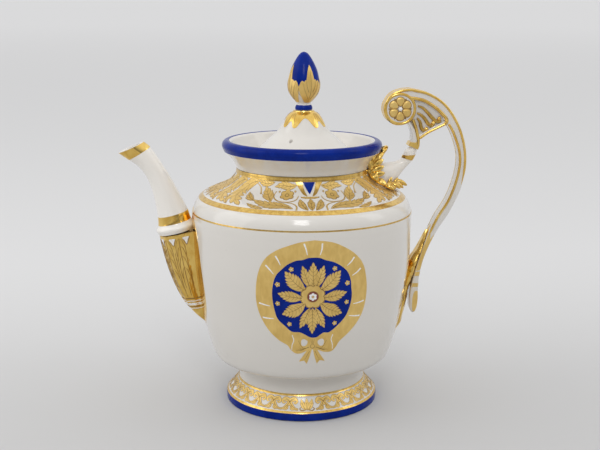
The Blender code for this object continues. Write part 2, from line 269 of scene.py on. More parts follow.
def flow(points, steps=6):
    # a smooth line through the points
    pts = np.array(points, float)
    pts = np.vstack([2 * pts[0] - pts[1], pts, 2 * pts[-1] - pts[-2]])
    t = np.linspace(0, 1, steps, endpoint=False)[:, None]
    runs = []
    for a, b, c, d in zip(pts, pts[1:], pts[2:], pts[3:]):
        runs.append(0.5 * (2 * b + (c - a) * t + (2 * a - 5 * b + 4 * c - d) * t ** 2
                           + (3 * b - a - 3 * c + d) * t ** 3))
    return np.vstack([*runs, pts[-2]])


def rounded(corners, steps):
    # a smooth closed outline through the corners
    return flow([*corners, corners[0]], steps)[:-1]


def arc(centre, radius, start, end, steps):
    angle = np.radians(np.linspace(start, end, steps + 1))
    return np.stack([centre[0] + radius * np.cos(angle), centre[1] + radius * np.sin(angle)], 1)


def measured(line):
    # the distance run along a line, at each of its points
    steps = np.linalg.norm(np.diff(line, axis=0), axis=1)
    return np.concatenate([[0], np.cumsum(steps)])


def evenly(line, count):
    run = measured(line)
    wanted = np.linspace(0, run[-1], count)
    return np.stack([np.interp(wanted, run, line[:, i]) for i in range(line.shape[1])], 1)


def sideways(line):
    # the left-hand normal of a flat line, at each of its points
    along = np.gradient(line, axis=0)
    along /= np.linalg.norm(along, axis=1)[:, None] + 1e-12
    return np.stack([-along[:, 1], along[:, 0]], 1)


def added(name, data):
    obj = bpy.data.objects.new(name, data)
    bpy.context.scene.collection.objects.link(obj)
    return obj


def meshFrom(name, bm):
    mesh = bpy.data.meshes.new(name)
    bm.to_mesh(mesh)
    bm.free()
    return mesh


def place(name, points, faces, tags, tints, body, slot, replaced=(), sharp=40):
    # points in millimetres from the pot's axis; tags picks one of the finishes for each face
    mesh = bpy.data.meshes.new(name)
    mesh.from_pydata((np.array(points, float) * mm).tolist(), [],
                     [list(map(int, face)) for face in faces])
    for tint in tints:
        mesh.materials.append(finishes[tint])
    mesh.polygons.foreach_set("material_index", np.array(tags, np.int32))
    bm = bmesh.new()
    bm.from_mesh(mesh)
    bmesh.ops.recalc_face_normals(bm, faces=bm.faces)
    bm.to_mesh(mesh)
    bm.free()
    mesh.shade_smooth()
    mesh.set_sharp_from_angle(angle=math.radians(sharp))
    obj = added(name, mesh)
    obj.location.x = potX * mm
    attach(obj, body)
    if replaced:
        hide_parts(*replaced)
    return obj


class Heap:
    # points and faces of several solids on their way into one piece

    def __init__(self):
        self.points = []
        self.faces = []
        self.tags = []

    def add(self, points, faces, tag=0):
        first = len(self.points)
        self.points.extend(np.asarray(points, float).tolist())
        self.faces.extend([[first + i for i in face] for face in faces])
        self.tags.extend([tag] * len(faces) if isinstance(tag, int) else list(tag))

    def make(self, name, tints, body, slot, **more):
        return place(name, self.points, self.faces, self.tags, tints, body, slot, **more)


def skinned(rings, closed=False, capped=True):
    # faces over rings of equal length, each ring a loop
    count = len(rings[0])
    faces = []
    pairs = list(zip(range(len(rings)), range(1, len(rings))))
    if closed:
        pairs.append((len(rings) - 1, 0))
    for near, far in pairs:
        for i in range(count):
            j = (i + 1) % count
            faces.append((near * count + i, near * count + j, far * count + j, far * count + i))
    if capped and not closed:
        faces.append(tuple(range(count)))
        faces.append(tuple((len(rings) - 1) * count + i for i in range(count)))
    return np.vstack(rings), faces


def turn(heap, outline, tag=0, axisX=0.0, steps=240, closed=False):
    # an outline turned about an upright axis; points on the axis become one point
    outline = np.asarray(outline, float)
    points, faces, rings = [], [], []
    angle = np.radians(np.linspace(0, 360, steps, endpoint=False))
    for r, z in outline:
        if r < 1e-6:
            rings.append([len(points)])
            points.append((axisX, 0, z))
        else:
            rings.append(list(range(len(points), len(points) + steps)))
            points.extend(zip(axisX + r * np.sin(angle), -r * np.cos(angle), [z] * steps))
    pairs = list(zip(rings, rings[1:]))
    if closed:
        pairs.append((rings[-1], rings[0]))
    for near, far in pairs:
        for i in range(steps):
            j = (i + 1) % steps
            if len(near) == 1 and len(far) == 1:
                continue
            if len(near) == 1:
                faces.append((near[0], far[j], far[i]))
            elif len(far) == 1:
                faces.append((near[i], near[j], far[0]))
            else:
                faces.append((near[i], near[j], far[j], far[i]))
    heap.add(points, faces, tag)


class Skin:
    # a turned surface: degrees round from the front, and millimetres down its outline

    def __init__(self, outline, axisX=0.0):
        self.line = np.asarray(outline, float)
        self.axisX = axisX
        self.run = measured(self.line)
        along = np.gradient(self.line, self.run, axis=0)
        along /= np.linalg.norm(along, axis=1)[:, None]
        self.out = np.stack([-along[:, 1], along[:, 0]], 1)

    def down(self, height):
        return float(np.interp(-height, -self.line[:, 1], self.run))

    def spot(self, down, lift):
        return [np.interp(down, self.run, self.line[:, i])
                + lift * np.interp(down, self.run, self.out[:, i]) for i in (0, 1)]

    def at(self, turnAngle, down, lift=0.0):
        r, z = self.spot(down, lift)
        angle = np.radians(turnAngle)
        return np.stack([self.axisX + r * np.sin(angle), -r * np.cos(angle), z], -1)

    def band(self, heap, top, bottom, lift, steps=240):
        # a thin ring laid on the surface between two distances down it
        runs = [top, *(d for d in self.run if top < d < bottom), bottom]
        outline = [self.spot(d, lift) for d in runs] + [self.spot(d, -sunk) for d in runs[::-1]]
        turn(heap, outline, 0, self.axisX, steps, closed=True)


class Side:
    # a flat face of the handle: x and z on it, and y out of it

    def __init__(self, side, depth):
        self.side = side
        self.depth = depth

    def at(self, x, z, lift=0.0):
        x, z = np.asarray(x, float), np.asarray(z, float)
        return np.stack([x, self.side * (self.depth + lift + 0 * x), z], -1)


def lay(heap, skin, outline, low, high, tag=0, grid=None):
    # one flat shape bent onto a surface and made thick from low to high
    outline = np.asarray(outline, float)
    ahead = np.roll(outline, -1, axis=0)
    if (outline[:, 0] * ahead[:, 1] - outline[:, 1] * ahead[:, 0]).sum() < 0:
        outline = outline[::-1]
    bm = bmesh.new()
    face = bm.faces.new([bm.verts.new((x, y, 0)) for x, y in outline])
    face.normal_update()
    bmesh.ops.triangulate(bm, faces=[face], ngon_method="EAR_CLIP")
    for axis, gap in enumerate(grid or ()):
        least, most = min(p[axis] for p in outline), max(p[axis] for p in outline)
        normal = Vector((1, 0, 0)) if axis == 0 else Vector((0, 1, 0))
        for k in range(math.floor(least / gap) + 1, math.ceil(most / gap)):
            bmesh.ops.bisect_plane(bm, geom=bm.verts[:] + bm.edges[:] + bm.faces[:],
                                   dist=1e-5, plane_co=normal * (k * gap), plane_no=normal)
    raised = bmesh.ops.extrude_face_region(bm, geom=bm.faces[:], use_keep_orig=True)["geom"]
    for item in raised:
        if isinstance(item, bmesh.types.BMVert):
            item.co.z = 1
    bm.verts.index_update()
    flat = np.array([v.co[:] for v in bm.verts])
    faces = [[v.index for v in f.verts] for f in bm.faces]
    bm.free()
    heap.add(skin.at(flat[:, 0], flat[:, 1], low + (high - low) * flat[:, 2]), faces, tag)


def pillow(heap, skin, outline, base, height, tag=0, steps=5):
    # a domed shape on a surface, for an outline that its own middle can see all of
    outline = np.asarray(outline, float)
    middle = outline.mean(0)
    rings = [skin.at(outline[:, 0], outline[:, 1], base + 0 * outline[:, 0] - 0.3)]
    for angle in np.radians(np.linspace(0, 84, steps)):
        ring = middle + (outline - middle) * math.cos(angle)
        rings.append(skin.at(ring[:, 0], ring[:, 1], base + height * math.sin(angle)
                             + 0 * ring[:, 0]))
    heap.add(*skinned(rings), tag)


def tube(heap, path, radius, tag=0, sides=10):
    # a round bead along a line in space; the radius is one number, or one for each point
    path = np.asarray(path, float)
    radius = np.broadcast_to(radius, len(path))
    along = np.gradient(path, axis=0)
    along /= np.linalg.norm(along, axis=1)[:, None]
    up = np.cross(along[0], (0.31, 0.87, 0.22))
    rings = []
    angle = np.linspace(0, 2 * math.pi, sides, endpoint=False)
    for spot, ahead, reach in zip(path, along, radius):
        up = up - ahead * up.dot(ahead)
        up /= np.linalg.norm(up)
        other = np.cross(ahead, up)
        rings.append(spot + reach * (np.cos(angle)[:, None] * up + np.sin(angle)[:, None] * other))
    heap.add(*skinned(rings), tag)


def ball(heap, centre, radius, tag=0):
    heights = np.sin(np.radians(np.linspace(-86, 86, 9)))
    path = np.array(centre, float) + np.outer(heights * radius, (0, 0, 1))
    tube(heap, path, radius * np.sqrt(1 - heights ** 2), tag, 14)


def ribbon(heap, line, half, lift, sink=0.1):
    # a sheet of gilding that follows an x and z line, as wide in y as twice half
    line = np.asarray(line, float)
    half = np.broadcast_to(half, len(line))
    out = sideways(line)
    rings = []
    for (x, z), (ox, oz), reach in zip(line, out, half):
        rings.append(np.array([(x + ox * up, y, z + oz * up) for y, up in
                               ((-reach, lift), (0, lift + 0.05), (reach, lift), (reach, -sink),
                                (-reach, -sink))]))
    heap.add(*skinned(rings))


def acanthus(heap, spine, ups, half, thick, lobes, steps=56):
    # a modelled leaf: lobes lean to its tip, with a rib, flutes and a hollow back
    line = evenly(flow(spine, 10), steps)
    ups = evenly(flow(ups, 10), steps)
    along = np.gradient(line, axis=0)
    along /= np.linalg.norm(along, axis=1)[:, None]
    across = np.linspace(-1, 1, 17)
    rings = []
    for i in range(steps):
        t = i / (steps - 1)
        up = ups[i] - along[i] * ups[i].dot(along[i])
        up /= np.linalg.norm(up)
        side = np.cross(along[i], up)
        saw = (t * lobes) % 1
        reach = half * max(math.sin(math.pi * min(0.06 + 0.94 * t, 1) ** 0.9), 0.06) ** 0.7
        reach *= 1 - 0.4 * (1 - saw) ** 1.6 * (0.25 + 0.75 * min(1, 4 * (1 - t)))
        rise = (1 - np.abs(across) ** 2.4) * 0.70 - 0.34 * np.exp(-(across / 0.16) ** 2)
        rise += 0.10 * np.cos(2 * math.pi * (t * lobes - np.abs(across) * 0.7)) * (across != 0)
        rise = rise * thick * (0.35 + 0.65 * math.sin(math.pi * (0.12 + 0.80 * t)))
        lean = along[i] * 0.55 * reach
        top = [line[i] + side * u * reach + lean * abs(u) + up * h for u, h in zip(across, rise)]
        under = [line[i] + side * u * reach + lean * abs(u) - up * thick * 0.25
                 for u in across[::-1][1:-1:4]]
        rings.append(np.array(top + under))
    heap.add(*skinned(rings))


def lobe(heap, start, end, half, up, curl=0.8):
    # one plump leaf lobe with a crease down it and a tip that turns up
    start, end, up = (np.asarray(v, float) for v in (start, end, up))
    ahead = (end - start) / np.linalg.norm(end - start)
    up = up - ahead * up.dot(ahead)
    up /= np.linalg.norm(up)
    side = np.cross(ahead, up)
    angle = np.linspace(0, 2 * math.pi, 20, endpoint=False)
    crease = 1 - 0.22 * np.exp(-((angle - math.pi / 2) / 0.35) ** 2)
    rings = []
    for t in np.linspace(0, 1, 16):
        reach = half * 1.08 * max(math.sin(math.pi * (0.12 + 0.87 * t) ** 0.95), 0.03) ** 0.55
        spot = start + (end - start) * t + up * (curl * t ** 3 + 0.5 * half * math.sin(math.pi * t))
        rings.append(spot + np.outer(reach * np.cos(angle), side)
                     + np.outer(0.72 * reach * crease * np.sin(angle), up))
    heap.add(*skinned(rings))


# The stage, the light and the camera

stageLook = {
    # the floor's tone near the viewer, about the teapot and far off: painted shade and light
    "near": (0.535, 0.533, 0.532),
    "floor": (0.700, 0.700, 0.702),
    "far": (0.775, 0.775, 0.778),
    "radius": 90.0,
    "overhead": 0.98,  # the room's light from above, from its walls, and from behind the viewer
    "walls": 0.735,
    "behind": 0.17,
    "tint": (1.0, 1.0, 1.005),
    "frontBox": {"at": (-0.10, -1.10, 1.00), "size": (0.32, 0.62), "power": 3.25},
    "leftBox": {"at": (-1.3, -0.10, 0.70), "size": (1.1, 1.3), "power": 3.7},
    "rightBox": {"at": (1.3, -0.2, 0.9), "size": (0.5, 0.8), "power": 1.2},
}


def makeFloor():
    look = stageLook
    bm = bmesh.new()
    bmesh.ops.create_circle(bm, cap_ends=True, segments=96, radius=look["radius"])
    mesh = meshFrom("floor", bm)
    board = Board("paper")
    spot = board.node("ShaderNodeTexCoord", out="Object")
    ahead = board.node("ShaderNodeSeparateXYZ", {}, {"Vector": spot}, out="Y")
    away = board.node("ShaderNodeVectorMath", {"operation": "LENGTH"}, {0: spot}, out="Value")
    # painted shade near the viewer and painted light far off, for how the light falls
    colour = board.mix(board.span(ahead, -0.22, 0.42), opaque(look["near"]), opaque(look["floor"]))
    colour = board.mix(board.span(away, 0.8, 9.0), colour, opaque(look["far"]))
    mesh.materials.append(board.shade({"Base Color": colour, "Roughness": 0.9,
                                       "Specular IOR Level": 0.1}))
    floor = added("floor", mesh)
    floor.location.z = -0.0002


def makeRoom():
    look = stageLook
    room = Board("studio", "worlds")
    ray = room.node("ShaderNodeTexCoord", out="Generated")
    rise = room.node("ShaderNodeSeparateXYZ", {}, {"Vector": ray}, out="Z")
    ahead = room.node("ShaderNodeSeparateXYZ", {}, {"Vector": ray}, out="Y")
    high = room.span(rise, 0.05, 0.75)
    back = room.span(ahead, -0.85, 0.15)
    above = room.span(rise, 0.02, 0.14)
    level = look["walls"] + (1 - back) * above * (look["behind"] - look["walls"])
    level = level * (1 - high) + high * look["overhead"]
    background = room.node("ShaderNodeBackground", {}, {"Color": opaque(look["tint"]),
                                                        "Strength": level})
    room.node("ShaderNodeOutputWorld", {}, {"Surface": background})
    bpy.context.scene.world = room.material


def makeLamps():
    for name in ("frontBox", "leftBox", "rightBox"):
        look = stageLook[name]
        data = bpy.data.lights.new(name, "AREA")
        data.shape = "RECTANGLE"
        data.size, data.size_y = look["size"]
        data.energy = look["power"]
        lamp = added(name, data)
        lamp.location = look["at"]
        aim = Vector((0, 0, 0.10)) - lamp.location
        lamp.rotation_euler = aim.to_track_quat("-Z", "Y").to_euler()


cameraLook = {
    "lens": 65.204, "shift": -0.00298, "turn": -4.7, "pitch": 12.0165, "roll": 0.186,
    "distance": 0.668983, "height": 0.254422,
}


def makeCamera():
    look = cameraLook
    data = bpy.data.cameras.new("camera")
    data.sensor_width = 36
    data.lens = look["lens"]
    data.shift_x = look["shift"]
    data.clip_start = 0.01
    camera = added("camera", data)
    camera.matrix_world = (Matrix.Translation((potX * mm, 0, 0))
                           @ Matrix.Rotation(math.radians(look["turn"]), 4, "Z")
                           @ Matrix.Translation((0, -look["distance"], look["height"]))
                           @ Matrix.Rotation(math.radians(90 - look["pitch"]), 4, "X")
                           @ Matrix.Rotation(math.radians(look["roll"]), 4, "Z"))
    bpy.context.scene.camera = camera


makeFloor()
makeRoom()
makeLamps()
makeCamera()
bpy.context.scene.view_settings.view_transform = "Standard"
print("stage, lights and camera placed")


# The body, the foot and the collar

bodyShape = {
    "neck": [(40.6, 149.15), (41.6, 145.1), (46.7, 139.8), (55.5, 135.8), (61.9, 132.8),
             (66.1, 128.8), (68.3, 122.5), (68.6, 114.0)],
    "side": [(68.6, 114.0), (67.4, 89.0), (63.7, 63.0), (60.9, 49.6), (57.6, 37.5),
             (54.4, 30.3), (48.0, 27.2), (41.2, 24.9)],
    "inside": [(50.5, 35.0), (55.5, 44.5), (59.7, 63.0), (63.4, 89.0), (64.6, 114.0),
               (63.0, 126.0), (57.5, 131.0), (46.0, 136.2), (38.4, 142.0), (36.6, 149.15)],
    "floorHeight": 30.4,
    "under": [(36.0, 24.9), (0, 24.9)],
    "strainerX": -64,
    "strainerRows": (74.0, 81.0, 88.0, 95.0),
    "strainerColumns": (-5.0, 0.0, 5.0),
    "strainerRadius": 1.7,
    "drillLength": 24,
    "steps": 288,
}
bodyLine = np.vstack([flow(bodyShape["neck"], 8), flow(bodyShape["side"], 8)[1:]])
bodySkin = Skin(bodyLine)


def carve(obj, cutter):
    boolean = obj.modifiers.new("carve", "BOOLEAN")
    boolean.operation = "DIFFERENCE"
    boolean.solver = "EXACT"
    boolean.object = cutter


def finishCut(obj, cutter):
    # works the modifiers into the mesh and takes the cutter away
    bpy.context.view_layer.update()
    graph = bpy.context.evaluated_depsgraph_get()
    mesh = bpy.data.meshes.new_from_object(obj.evaluated_get(graph))
    obj.modifiers.clear()
    obj.data = mesh
    bpy.data.objects.remove(cutter)
    return mesh


def drilled(obj, drills):
    # round holes: (place in millimetres from the pot's axis, direction, radius, length)
    bm = bmesh.new()
    for spot, direction, radius, length in drills:
        made = bmesh.ops.create_cone(bm, cap_ends=True, segments=24, radius1=radius * mm,
                                     radius2=radius * mm, depth=length * mm)
        swing = Vector((0, 0, 1)).rotation_difference(Vector(direction)).to_matrix()
        bmesh.ops.rotate(bm, verts=made["verts"], matrix=swing)
        bmesh.ops.translate(bm, verts=made["verts"], vec=(Vector(spot) + Vector((potX, 0, 0))) * mm)
    cutter = added("drill", meshFrom("drill", bm))
    carve(obj, cutter)
    finishCut(obj, cutter)


def makeBody():
    shape = bodyShape
    floor = shape["floorHeight"]
    inside = np.vstack([[(0, floor), (40.0, floor + 0.8)], flow(shape["inside"], 3)])
    heap = Heap()
    turn(heap, np.vstack([inside, bodyLine, shape["under"]]), steps=shape["steps"])
    body = heap.make("bodyShell", ["porcelain"], "pot", "porcelain", replaced=["body"])
    drilled(body, [((shape["strainerX"], y, z), (1, 0, 0), shape["strainerRadius"],
                    shape["drillLength"])
                   for y in shape["strainerColumns"] for z in shape["strainerRows"]])


footShape = {
    "cove": [(40.9, 24.6), (39.5, 19.5), (40.1, 14.1)],
    "shoulder": [(40.1, 14.1), (43.6, 9.6), (47.4, 5.5)],
    "inside": [(43.0, 0.9), (42.2, 5.0), (38.0, 10.5), (35.4, 15.0), (34.8, 24.6)],
    "edge": 1.2,  # radius of the rounded edge, then of the corners under it
    "sole": 0.9,
    "soleInside": 44.0,
}
footLine = np.vstack([flow(footShape["cove"], 8), flow(footShape["shoulder"], 6)[1:],
                      arc((footRadius - footShape["edge"], 4.4), footShape["edge"], 45, 0, 4),
                      arc((footRadius - footShape["sole"], footShape["sole"]), footShape["sole"],
                          0, -90, 5)])
footSkin = Skin(footLine)


def makeFoot():
    shape = footShape
    corner = arc((shape["soleInside"], shape["sole"]), shape["sole"], -90, -180, 4)[1:]
    outline = np.vstack([footLine, corner, flow(shape["inside"], 4)])
    heap = Heap()
    turn(heap, outline, closed=True)
    heap.make("footRing", ["porcelain"], "pot", "porcelain", replaced=["foot"])


collarShape = {
    "roll": 3.2,
    "rimRadius": 49.5,
    "flare": [(48.3, 159.7), (45.0, 156.6), (42.2, 153.0), (40.7, 149.45)],
    "inside": [(34.8, 149.45), (34.4, 154.8), (35.0, 155.4), (38.3, 155.4), (38.9, 156.0),
               (40.8, 159.4), (42.4, 162.2)],
}
rollCentre = (collarShape["rimRadius"] - collarShape["roll"], rimHeight - collarShape["roll"])
rollLine = arc(rollCentre, collarShape["roll"], 160, -30, 28)
collarLine = np.vstack([rollLine, flow(collarShape["flare"], 8)])
collarSkin = Skin(collarLine)


def makeCollar():
    outline = np.vstack([collarLine, flow(collarShape["inside"][:2], 2),
                         flow(collarShape["inside"][2:4], 2), flow(collarShape["inside"][4:], 4)])
    heap = Heap()
    turn(heap, outline, closed=True)
    heap.make("collarRing", ["porcelain"], "pot", "porcelain", replaced=["neck_collar"])


makeBody()
makeFoot()
makeCollar()
print("body, foot and collar turned")


# The lid and its knob

lidShape = {
    "slope": [(6.6, 183.6), (8.8, 182.2), (10.8, 179.9), (13.3, 176.0), (16.5, 171.4),
              (20.6, 167.6), (28.4, 160.9), (36.0, 157.3)],
    "edge": [(37.0, 156.6), (36.7, 155.7), (33.0, 155.7)],
    "skirt": [(32.6, 147.2), (31.8, 146.4), (30.6, 146.4), (29.9, 147.2), (29.6, 154.6)],
    "hollow": [(25.5, 159.0), (16.4, 167.0), (10.6, 173.0), (7.0, 178.0)],
    "top": [(0, 184.3), (5.6, 184.3), (6.2, 184.1)],
    "hollowTop": (0, 179.8),
    "vent": (-9.2, -18.4, 166),
    "ventRadius": 1.1,
    "drillLength": 16,
    "bud": [(0.0, 220.0), (2.0, 219.2), (4.1, 216.8), (6.7, 212.2), (8.6, 207.3), (9.8, 199.8),
            (8.6, 194.6), (4.5, 189.2), (4.4, 188.0), (5.2, 186.2), (5.1, 184.6)],
    "seam": 197.5,  # the cobalt stops here, under the gold leaves
}
lidOff = lidX - potX
slopeLine = flow(lidShape["slope"], 8)
lidSkin = Skin(slopeLine, lidOff)
budLine = flow(lidShape["bud"], 8)
budLine[:, 0] = np.maximum(budLine[:, 0], 0)
budSkin = Skin(budLine[1:], lidOff)


def makeLid():
    shape = lidShape
    outline = np.vstack([shape["top"], slopeLine, shape["edge"], shape["skirt"],
                         flow(shape["hollow"], 3), shape["hollowTop"]])
    heap = Heap()
    turn(heap, outline, axisX=lidOff, steps=200)
    lid = heap.make("lidCone", ["porcelain"], "lid", "porcelain", replaced=["lid"])
    x, y, z = shape["vent"]
    drilled(lid, [((lidOff + x, y, z), (0, 0, 1), shape["ventRadius"], shape["drillLength"])])


def makeKnob():
    seam = lidShape["seam"]
    high = budLine[budLine[:, 1] > seam]
    low = budLine[budLine[:, 1] <= seam]
    meet = np.array([(np.interp(-seam, -budLine[:, 1], budLine[:, 0]), seam)])
    heap = Heap()
    turn(heap, np.vstack([high, meet]), 1, lidOff, 120)
    turn(heap, np.vstack([meet, low, [(0, low[-1][1])]]), 0, lidOff, 120)
    knob = heap.make("knobBud", ["porcelain", "cobalt"], "lid", "cobalt_glaze",
                     replaced=["lid_knob"])
    bm = bmesh.new()
    bm.from_mesh(knob.data)
    bmesh.ops.remove_doubles(bm, verts=bm.verts, dist=0.000001)
    bmesh.ops.recalc_face_normals(bm, faces=bm.faces)
    bm.to_mesh(knob.data)
    bm.free()


makeLid()
makeKnob()
print("lid and knob turned")


# The spout and its socket

spoutShape = {
    # breast edge x, z, throat edge x, z, half width
    "stations": [(-89.4, 107.2, -67.2, 112.4, 11.1), (-90.9, 110.0, -66.6, 115.2, 12.0),
                 (-89.6, 113.2, -69.4, 118.0, 10.2), (-89.8, 118.5, -71.2, 123.3, 9.4),
                 (-90.9, 126.1, -74.2, 129.6, 8.4), (-92.5, 133.7, -77.8, 136.6, 7.5),
                 (-94.7, 140.6, -81.8, 144.2, 6.7), (-97.6, 146.2, -85.9, 151.1, 6.3),
                 (-101.7, 151.0, -89.6, 156.9, 6.3), (-106.6, 154.4, -93.4, 162.4, 6.5),
                 (-112.8, 158.8, -97.2, 165.6, 6.6)],
    "wall": 2.6,
    "rootWall": (1, 1.6),  # more wall at the first two stations, where the bead stands
    "gilt": ((2, 3), (9, 10)),  # stations that a gold band starts and ends at
    "sides": 64,
    "steps": 8,
}


def ovals(stations, sides, lift=0.0):
    rings = []
    angle = np.radians(np.linspace(0, 360, sides, endpoint=False))
    for leftX, leftZ, rightX, rightZ, half in stations:
        middle = np.array(((leftX + rightX) / 2, (leftZ + rightZ) / 2))
        reach = np.array(((rightX - leftX) / 2, (rightZ - leftZ) / 2))
        reach = reach * (1 + lift / np.linalg.norm(reach))
        rings.append(np.stack([middle[0] + reach[0] * np.cos(angle),
                               (half + lift) * np.sin(angle),
                               middle[1] + reach[1] * np.cos(angle)], 1))
    return rings


def thinned(stations, wall):
    # the stations with both edges brought in by the wall
    rows = []
    for row in np.asarray(stations, float):
        across = (row[2:4] - row[:2]) / np.linalg.norm(row[2:4] - row[:2]) * wall
        rows.append((*(row[:2] + across), *(row[2:4] - across), row[4] - wall))
    return rows


def sleeve(heap, stations, sides, lift=0.08):
    # a thin ring of finish laid round a lofted tube
    outer = ovals(stations, sides, lift)
    inner = ovals(stations, sides, -sunk)
    heap.add(*skinned(outer + inner[::-1], closed=True))


spoutLine = flow(spoutShape["stations"], spoutShape["steps"])


def makeSpout():
    shape = spoutShape
    bore = np.array(thinned(shape["stations"], shape["wall"]))
    for i, more in enumerate(shape["rootWall"]):
        bore[i] = thinned(shape["stations"][i:i + 1], shape["wall"] + more)[0]
    outside = ovals(spoutLine, shape["sides"])
    inside = ovals(flow(bore, shape["steps"]), shape["sides"])
    heap = Heap()
    heap.add(*skinned(outside + inside[::-1], closed=True))
    # the tube takes the lighter copy of the porcelain: painted light
    heap.make("spoutTube", ["brightPorcelain"], "pot", "porcelain", replaced=["spout"])
    heap = Heap()
    for start, end in np.array(shape["gilt"]) * shape["steps"]:
        sleeve(heap, spoutLine[start:end + 1], shape["sides"])
    heap.make("spoutGilding", ["reliefGold"], "pot", "gilding")


socketShape = {
    # front x, z, back z, half width
    "stations": [(-88.3, 106.8, 113.6, 11.0), (-86.6, 98.5, 104.6, 10.6),
                 (-83.6, 86.8, 91.6, 9.8), (-79.3, 75.0, 78.6, 8.4), (-73.9, 64.2, 66.6, 6.2),
                 (-68.0, 56.4, 58.0, 3.6), (-61.6, 50.6, 51.4, 1.0)],
    "backX": -57.0,
    "sides": 72,
    "steps": 14,
    "leafGap": 8.9,  # between two leaf ribs, measured along the top edge
    # painted lines: millimetres across along the top edge, and share of the socket's length
    "gap": [(-2.1, 0.045), (2.1, 0.045), (0.9, 0.09), (0, 0.135), (-0.9, 0.09), (-2.1, 0.045)],
    "edge": [(2.4, 0.045), (1.2, 0.10), (0, 0.15)],
    "vein": [(0.2, 0), (1.7, 0.03), (3.0, 0.11), (3.2, 0.19)],
    "veinStart": 0.05,
    "veinPitch": 0.095,
    # share of the length, width, finish
    "bands": [(0.012, 1.0, 2), (0.628, 0.7, 0), (0.656, 0.7, 1), (0.694, 2.2, 1),
              (0.728, 0.6, 0), (0.752, 0.8, 1)],
}
socketLine = flow(socketShape["stations"], socketShape["steps"])
leafGap = socketShape["leafGap"]


def socketRelief(run, row):
    half = np.interp(row, np.arange(len(socketLine)), socketLine[:, 3])
    across = run * socketLine[0][3] / half / leafGap
    d = abs(across - round(across)) * 2
    share = row / (len(socketLine) - 1)
    blade = 0.95 * (1 - d ** 2.0)
    rib = 0.30 * math.exp(-(d / 0.13) ** 2)
    veins = 0.05 * math.cos(2 * math.pi * (share * 15 + d * 1.4)) * (1 - math.exp(-(d / 0.2) ** 2))
    fade = min(1.0, half / 4.0) * (1.0 if share < 0.70 else max(0.0, 1 - (share - 0.70) * 12))
    return (blade + rib + veins - 0.62) * fade


def socketPoint(run, row, lift=0.0):
    # run is the distance round from the front, at this row's own size
    rows = np.arange(len(socketLine))
    frontX, frontZ, backZ, half = (np.interp(row, rows, socketLine[:, i]) for i in range(4))
    half = half + lift
    start = np.array((frontX - lift, frontZ))
    along = np.array((socketShape["backX"], backZ)) - start
    along = along / np.linalg.norm(along)
    side = 1 if run >= 0 else -1
    turned = min(abs(run) / half, math.pi / 2)
    back = max(abs(run) - half * math.pi / 2, 0.0)
    push = socketRelief(run, row)
    spot = start + along * (half * (1 - math.cos(turned)) + back - math.cos(turned) * push)
    return spot[0], side * (half + push) * math.sin(turned), spot[1]


class SocketSkin:
    # across is the distance round at the top edge; down is the share of the socket's length

    def at(self, across, down, lift=0.0):
        spots = []
        for x, y, up in np.broadcast(across, down, lift):
            row = y * (len(socketLine) - 1)
            half = np.interp(row, np.arange(len(socketLine)), socketLine[:, 3])
            spots.append(socketPoint(x * half / socketLine[0][3], row, up))
        return np.array(spots)


def makeSocket():
    shape = socketShape
    rings = []
    for row, (frontX, frontZ, backZ, half) in enumerate(socketLine):
        straight = max(math.hypot(shape["backX"] - frontX, backZ - frontZ) - half, 0.5)
        total = math.pi * half + 2 * straight
        rings.append(np.array([socketPoint(total * (i / shape["sides"] - 0.5), row)
                               for i in range(shape["sides"] + 1)]))
    heap = Heap()
    heap.add(*skinned(rings))
    heap.make("spoutSocket", ["reliefGold"], "pot", "gilding", replaced=["spout_socket"])
    heap = Heap()
    skin = SocketSkin()

    def line(points, width, tag, low=0.02, high=0.10):
        path = flow(np.array(points, float) * (1, 70), 5)
        side = sideways(path)
        run = measured(path) / measured(path)[-1]
        half = (width / 2 * np.clip(np.minimum(run, 1 - run) * 6 + 0.25, 0, 1))[:, None]
        outline = np.vstack([path + side * half, (path - side * half)[::-1]]) / (1, 70)
        lay(heap, skin, outline, low, high, tag, (1.6, 0.05))

    for k in range(-3, 3):
        # white showing between the tops of two leaves
        middle = (k + 0.5) * leafGap
        gap = flow([(middle + x, share) for x, share in shape["gap"]], 3)[:-1]
        lay(heap, skin, gap, -sunk, 0.14, 1, (1.2, 0.03))
        line([(middle, 0.14), (middle + 0.1, 0.30), (middle * 0.96, 0.46), (middle * 0.92, 0.61)],
             0.30, 0)
        for sign in (-1, 1):
            line([(middle + sign * x, share) for x, share in shape["edge"]], 0.36, 0)
    for k in range(-2, 3):
        middle = k * leafGap
        line([(middle, 0.05), (middle * 0.99, 0.30), (middle * 0.95, 0.60)], 0.26, 0, high=0.14)
        for v in range(4):
            start = shape["veinStart"] + shape["veinPitch"] * v
            for sign in (-1, 1):
                line([(middle + sign * x, start + share) for x, share in shape["vein"]],
                     0.20, 0, high=0.12)
    reach = socketLine[0][3] * math.pi / 2 + 14
    for share, width, tag in shape["bands"]:
        line([(reach * part, share) for part in (-1, -0.5, 0, 0.5, 1)], width, tag, -sunk, 0.13)
    heap.make("socketLeaves", ["goldShade", "white", "goldLine"], "pot", "gilding")


makeSpout()
makeSocket()
print("spout and socket lofted")


# The handle

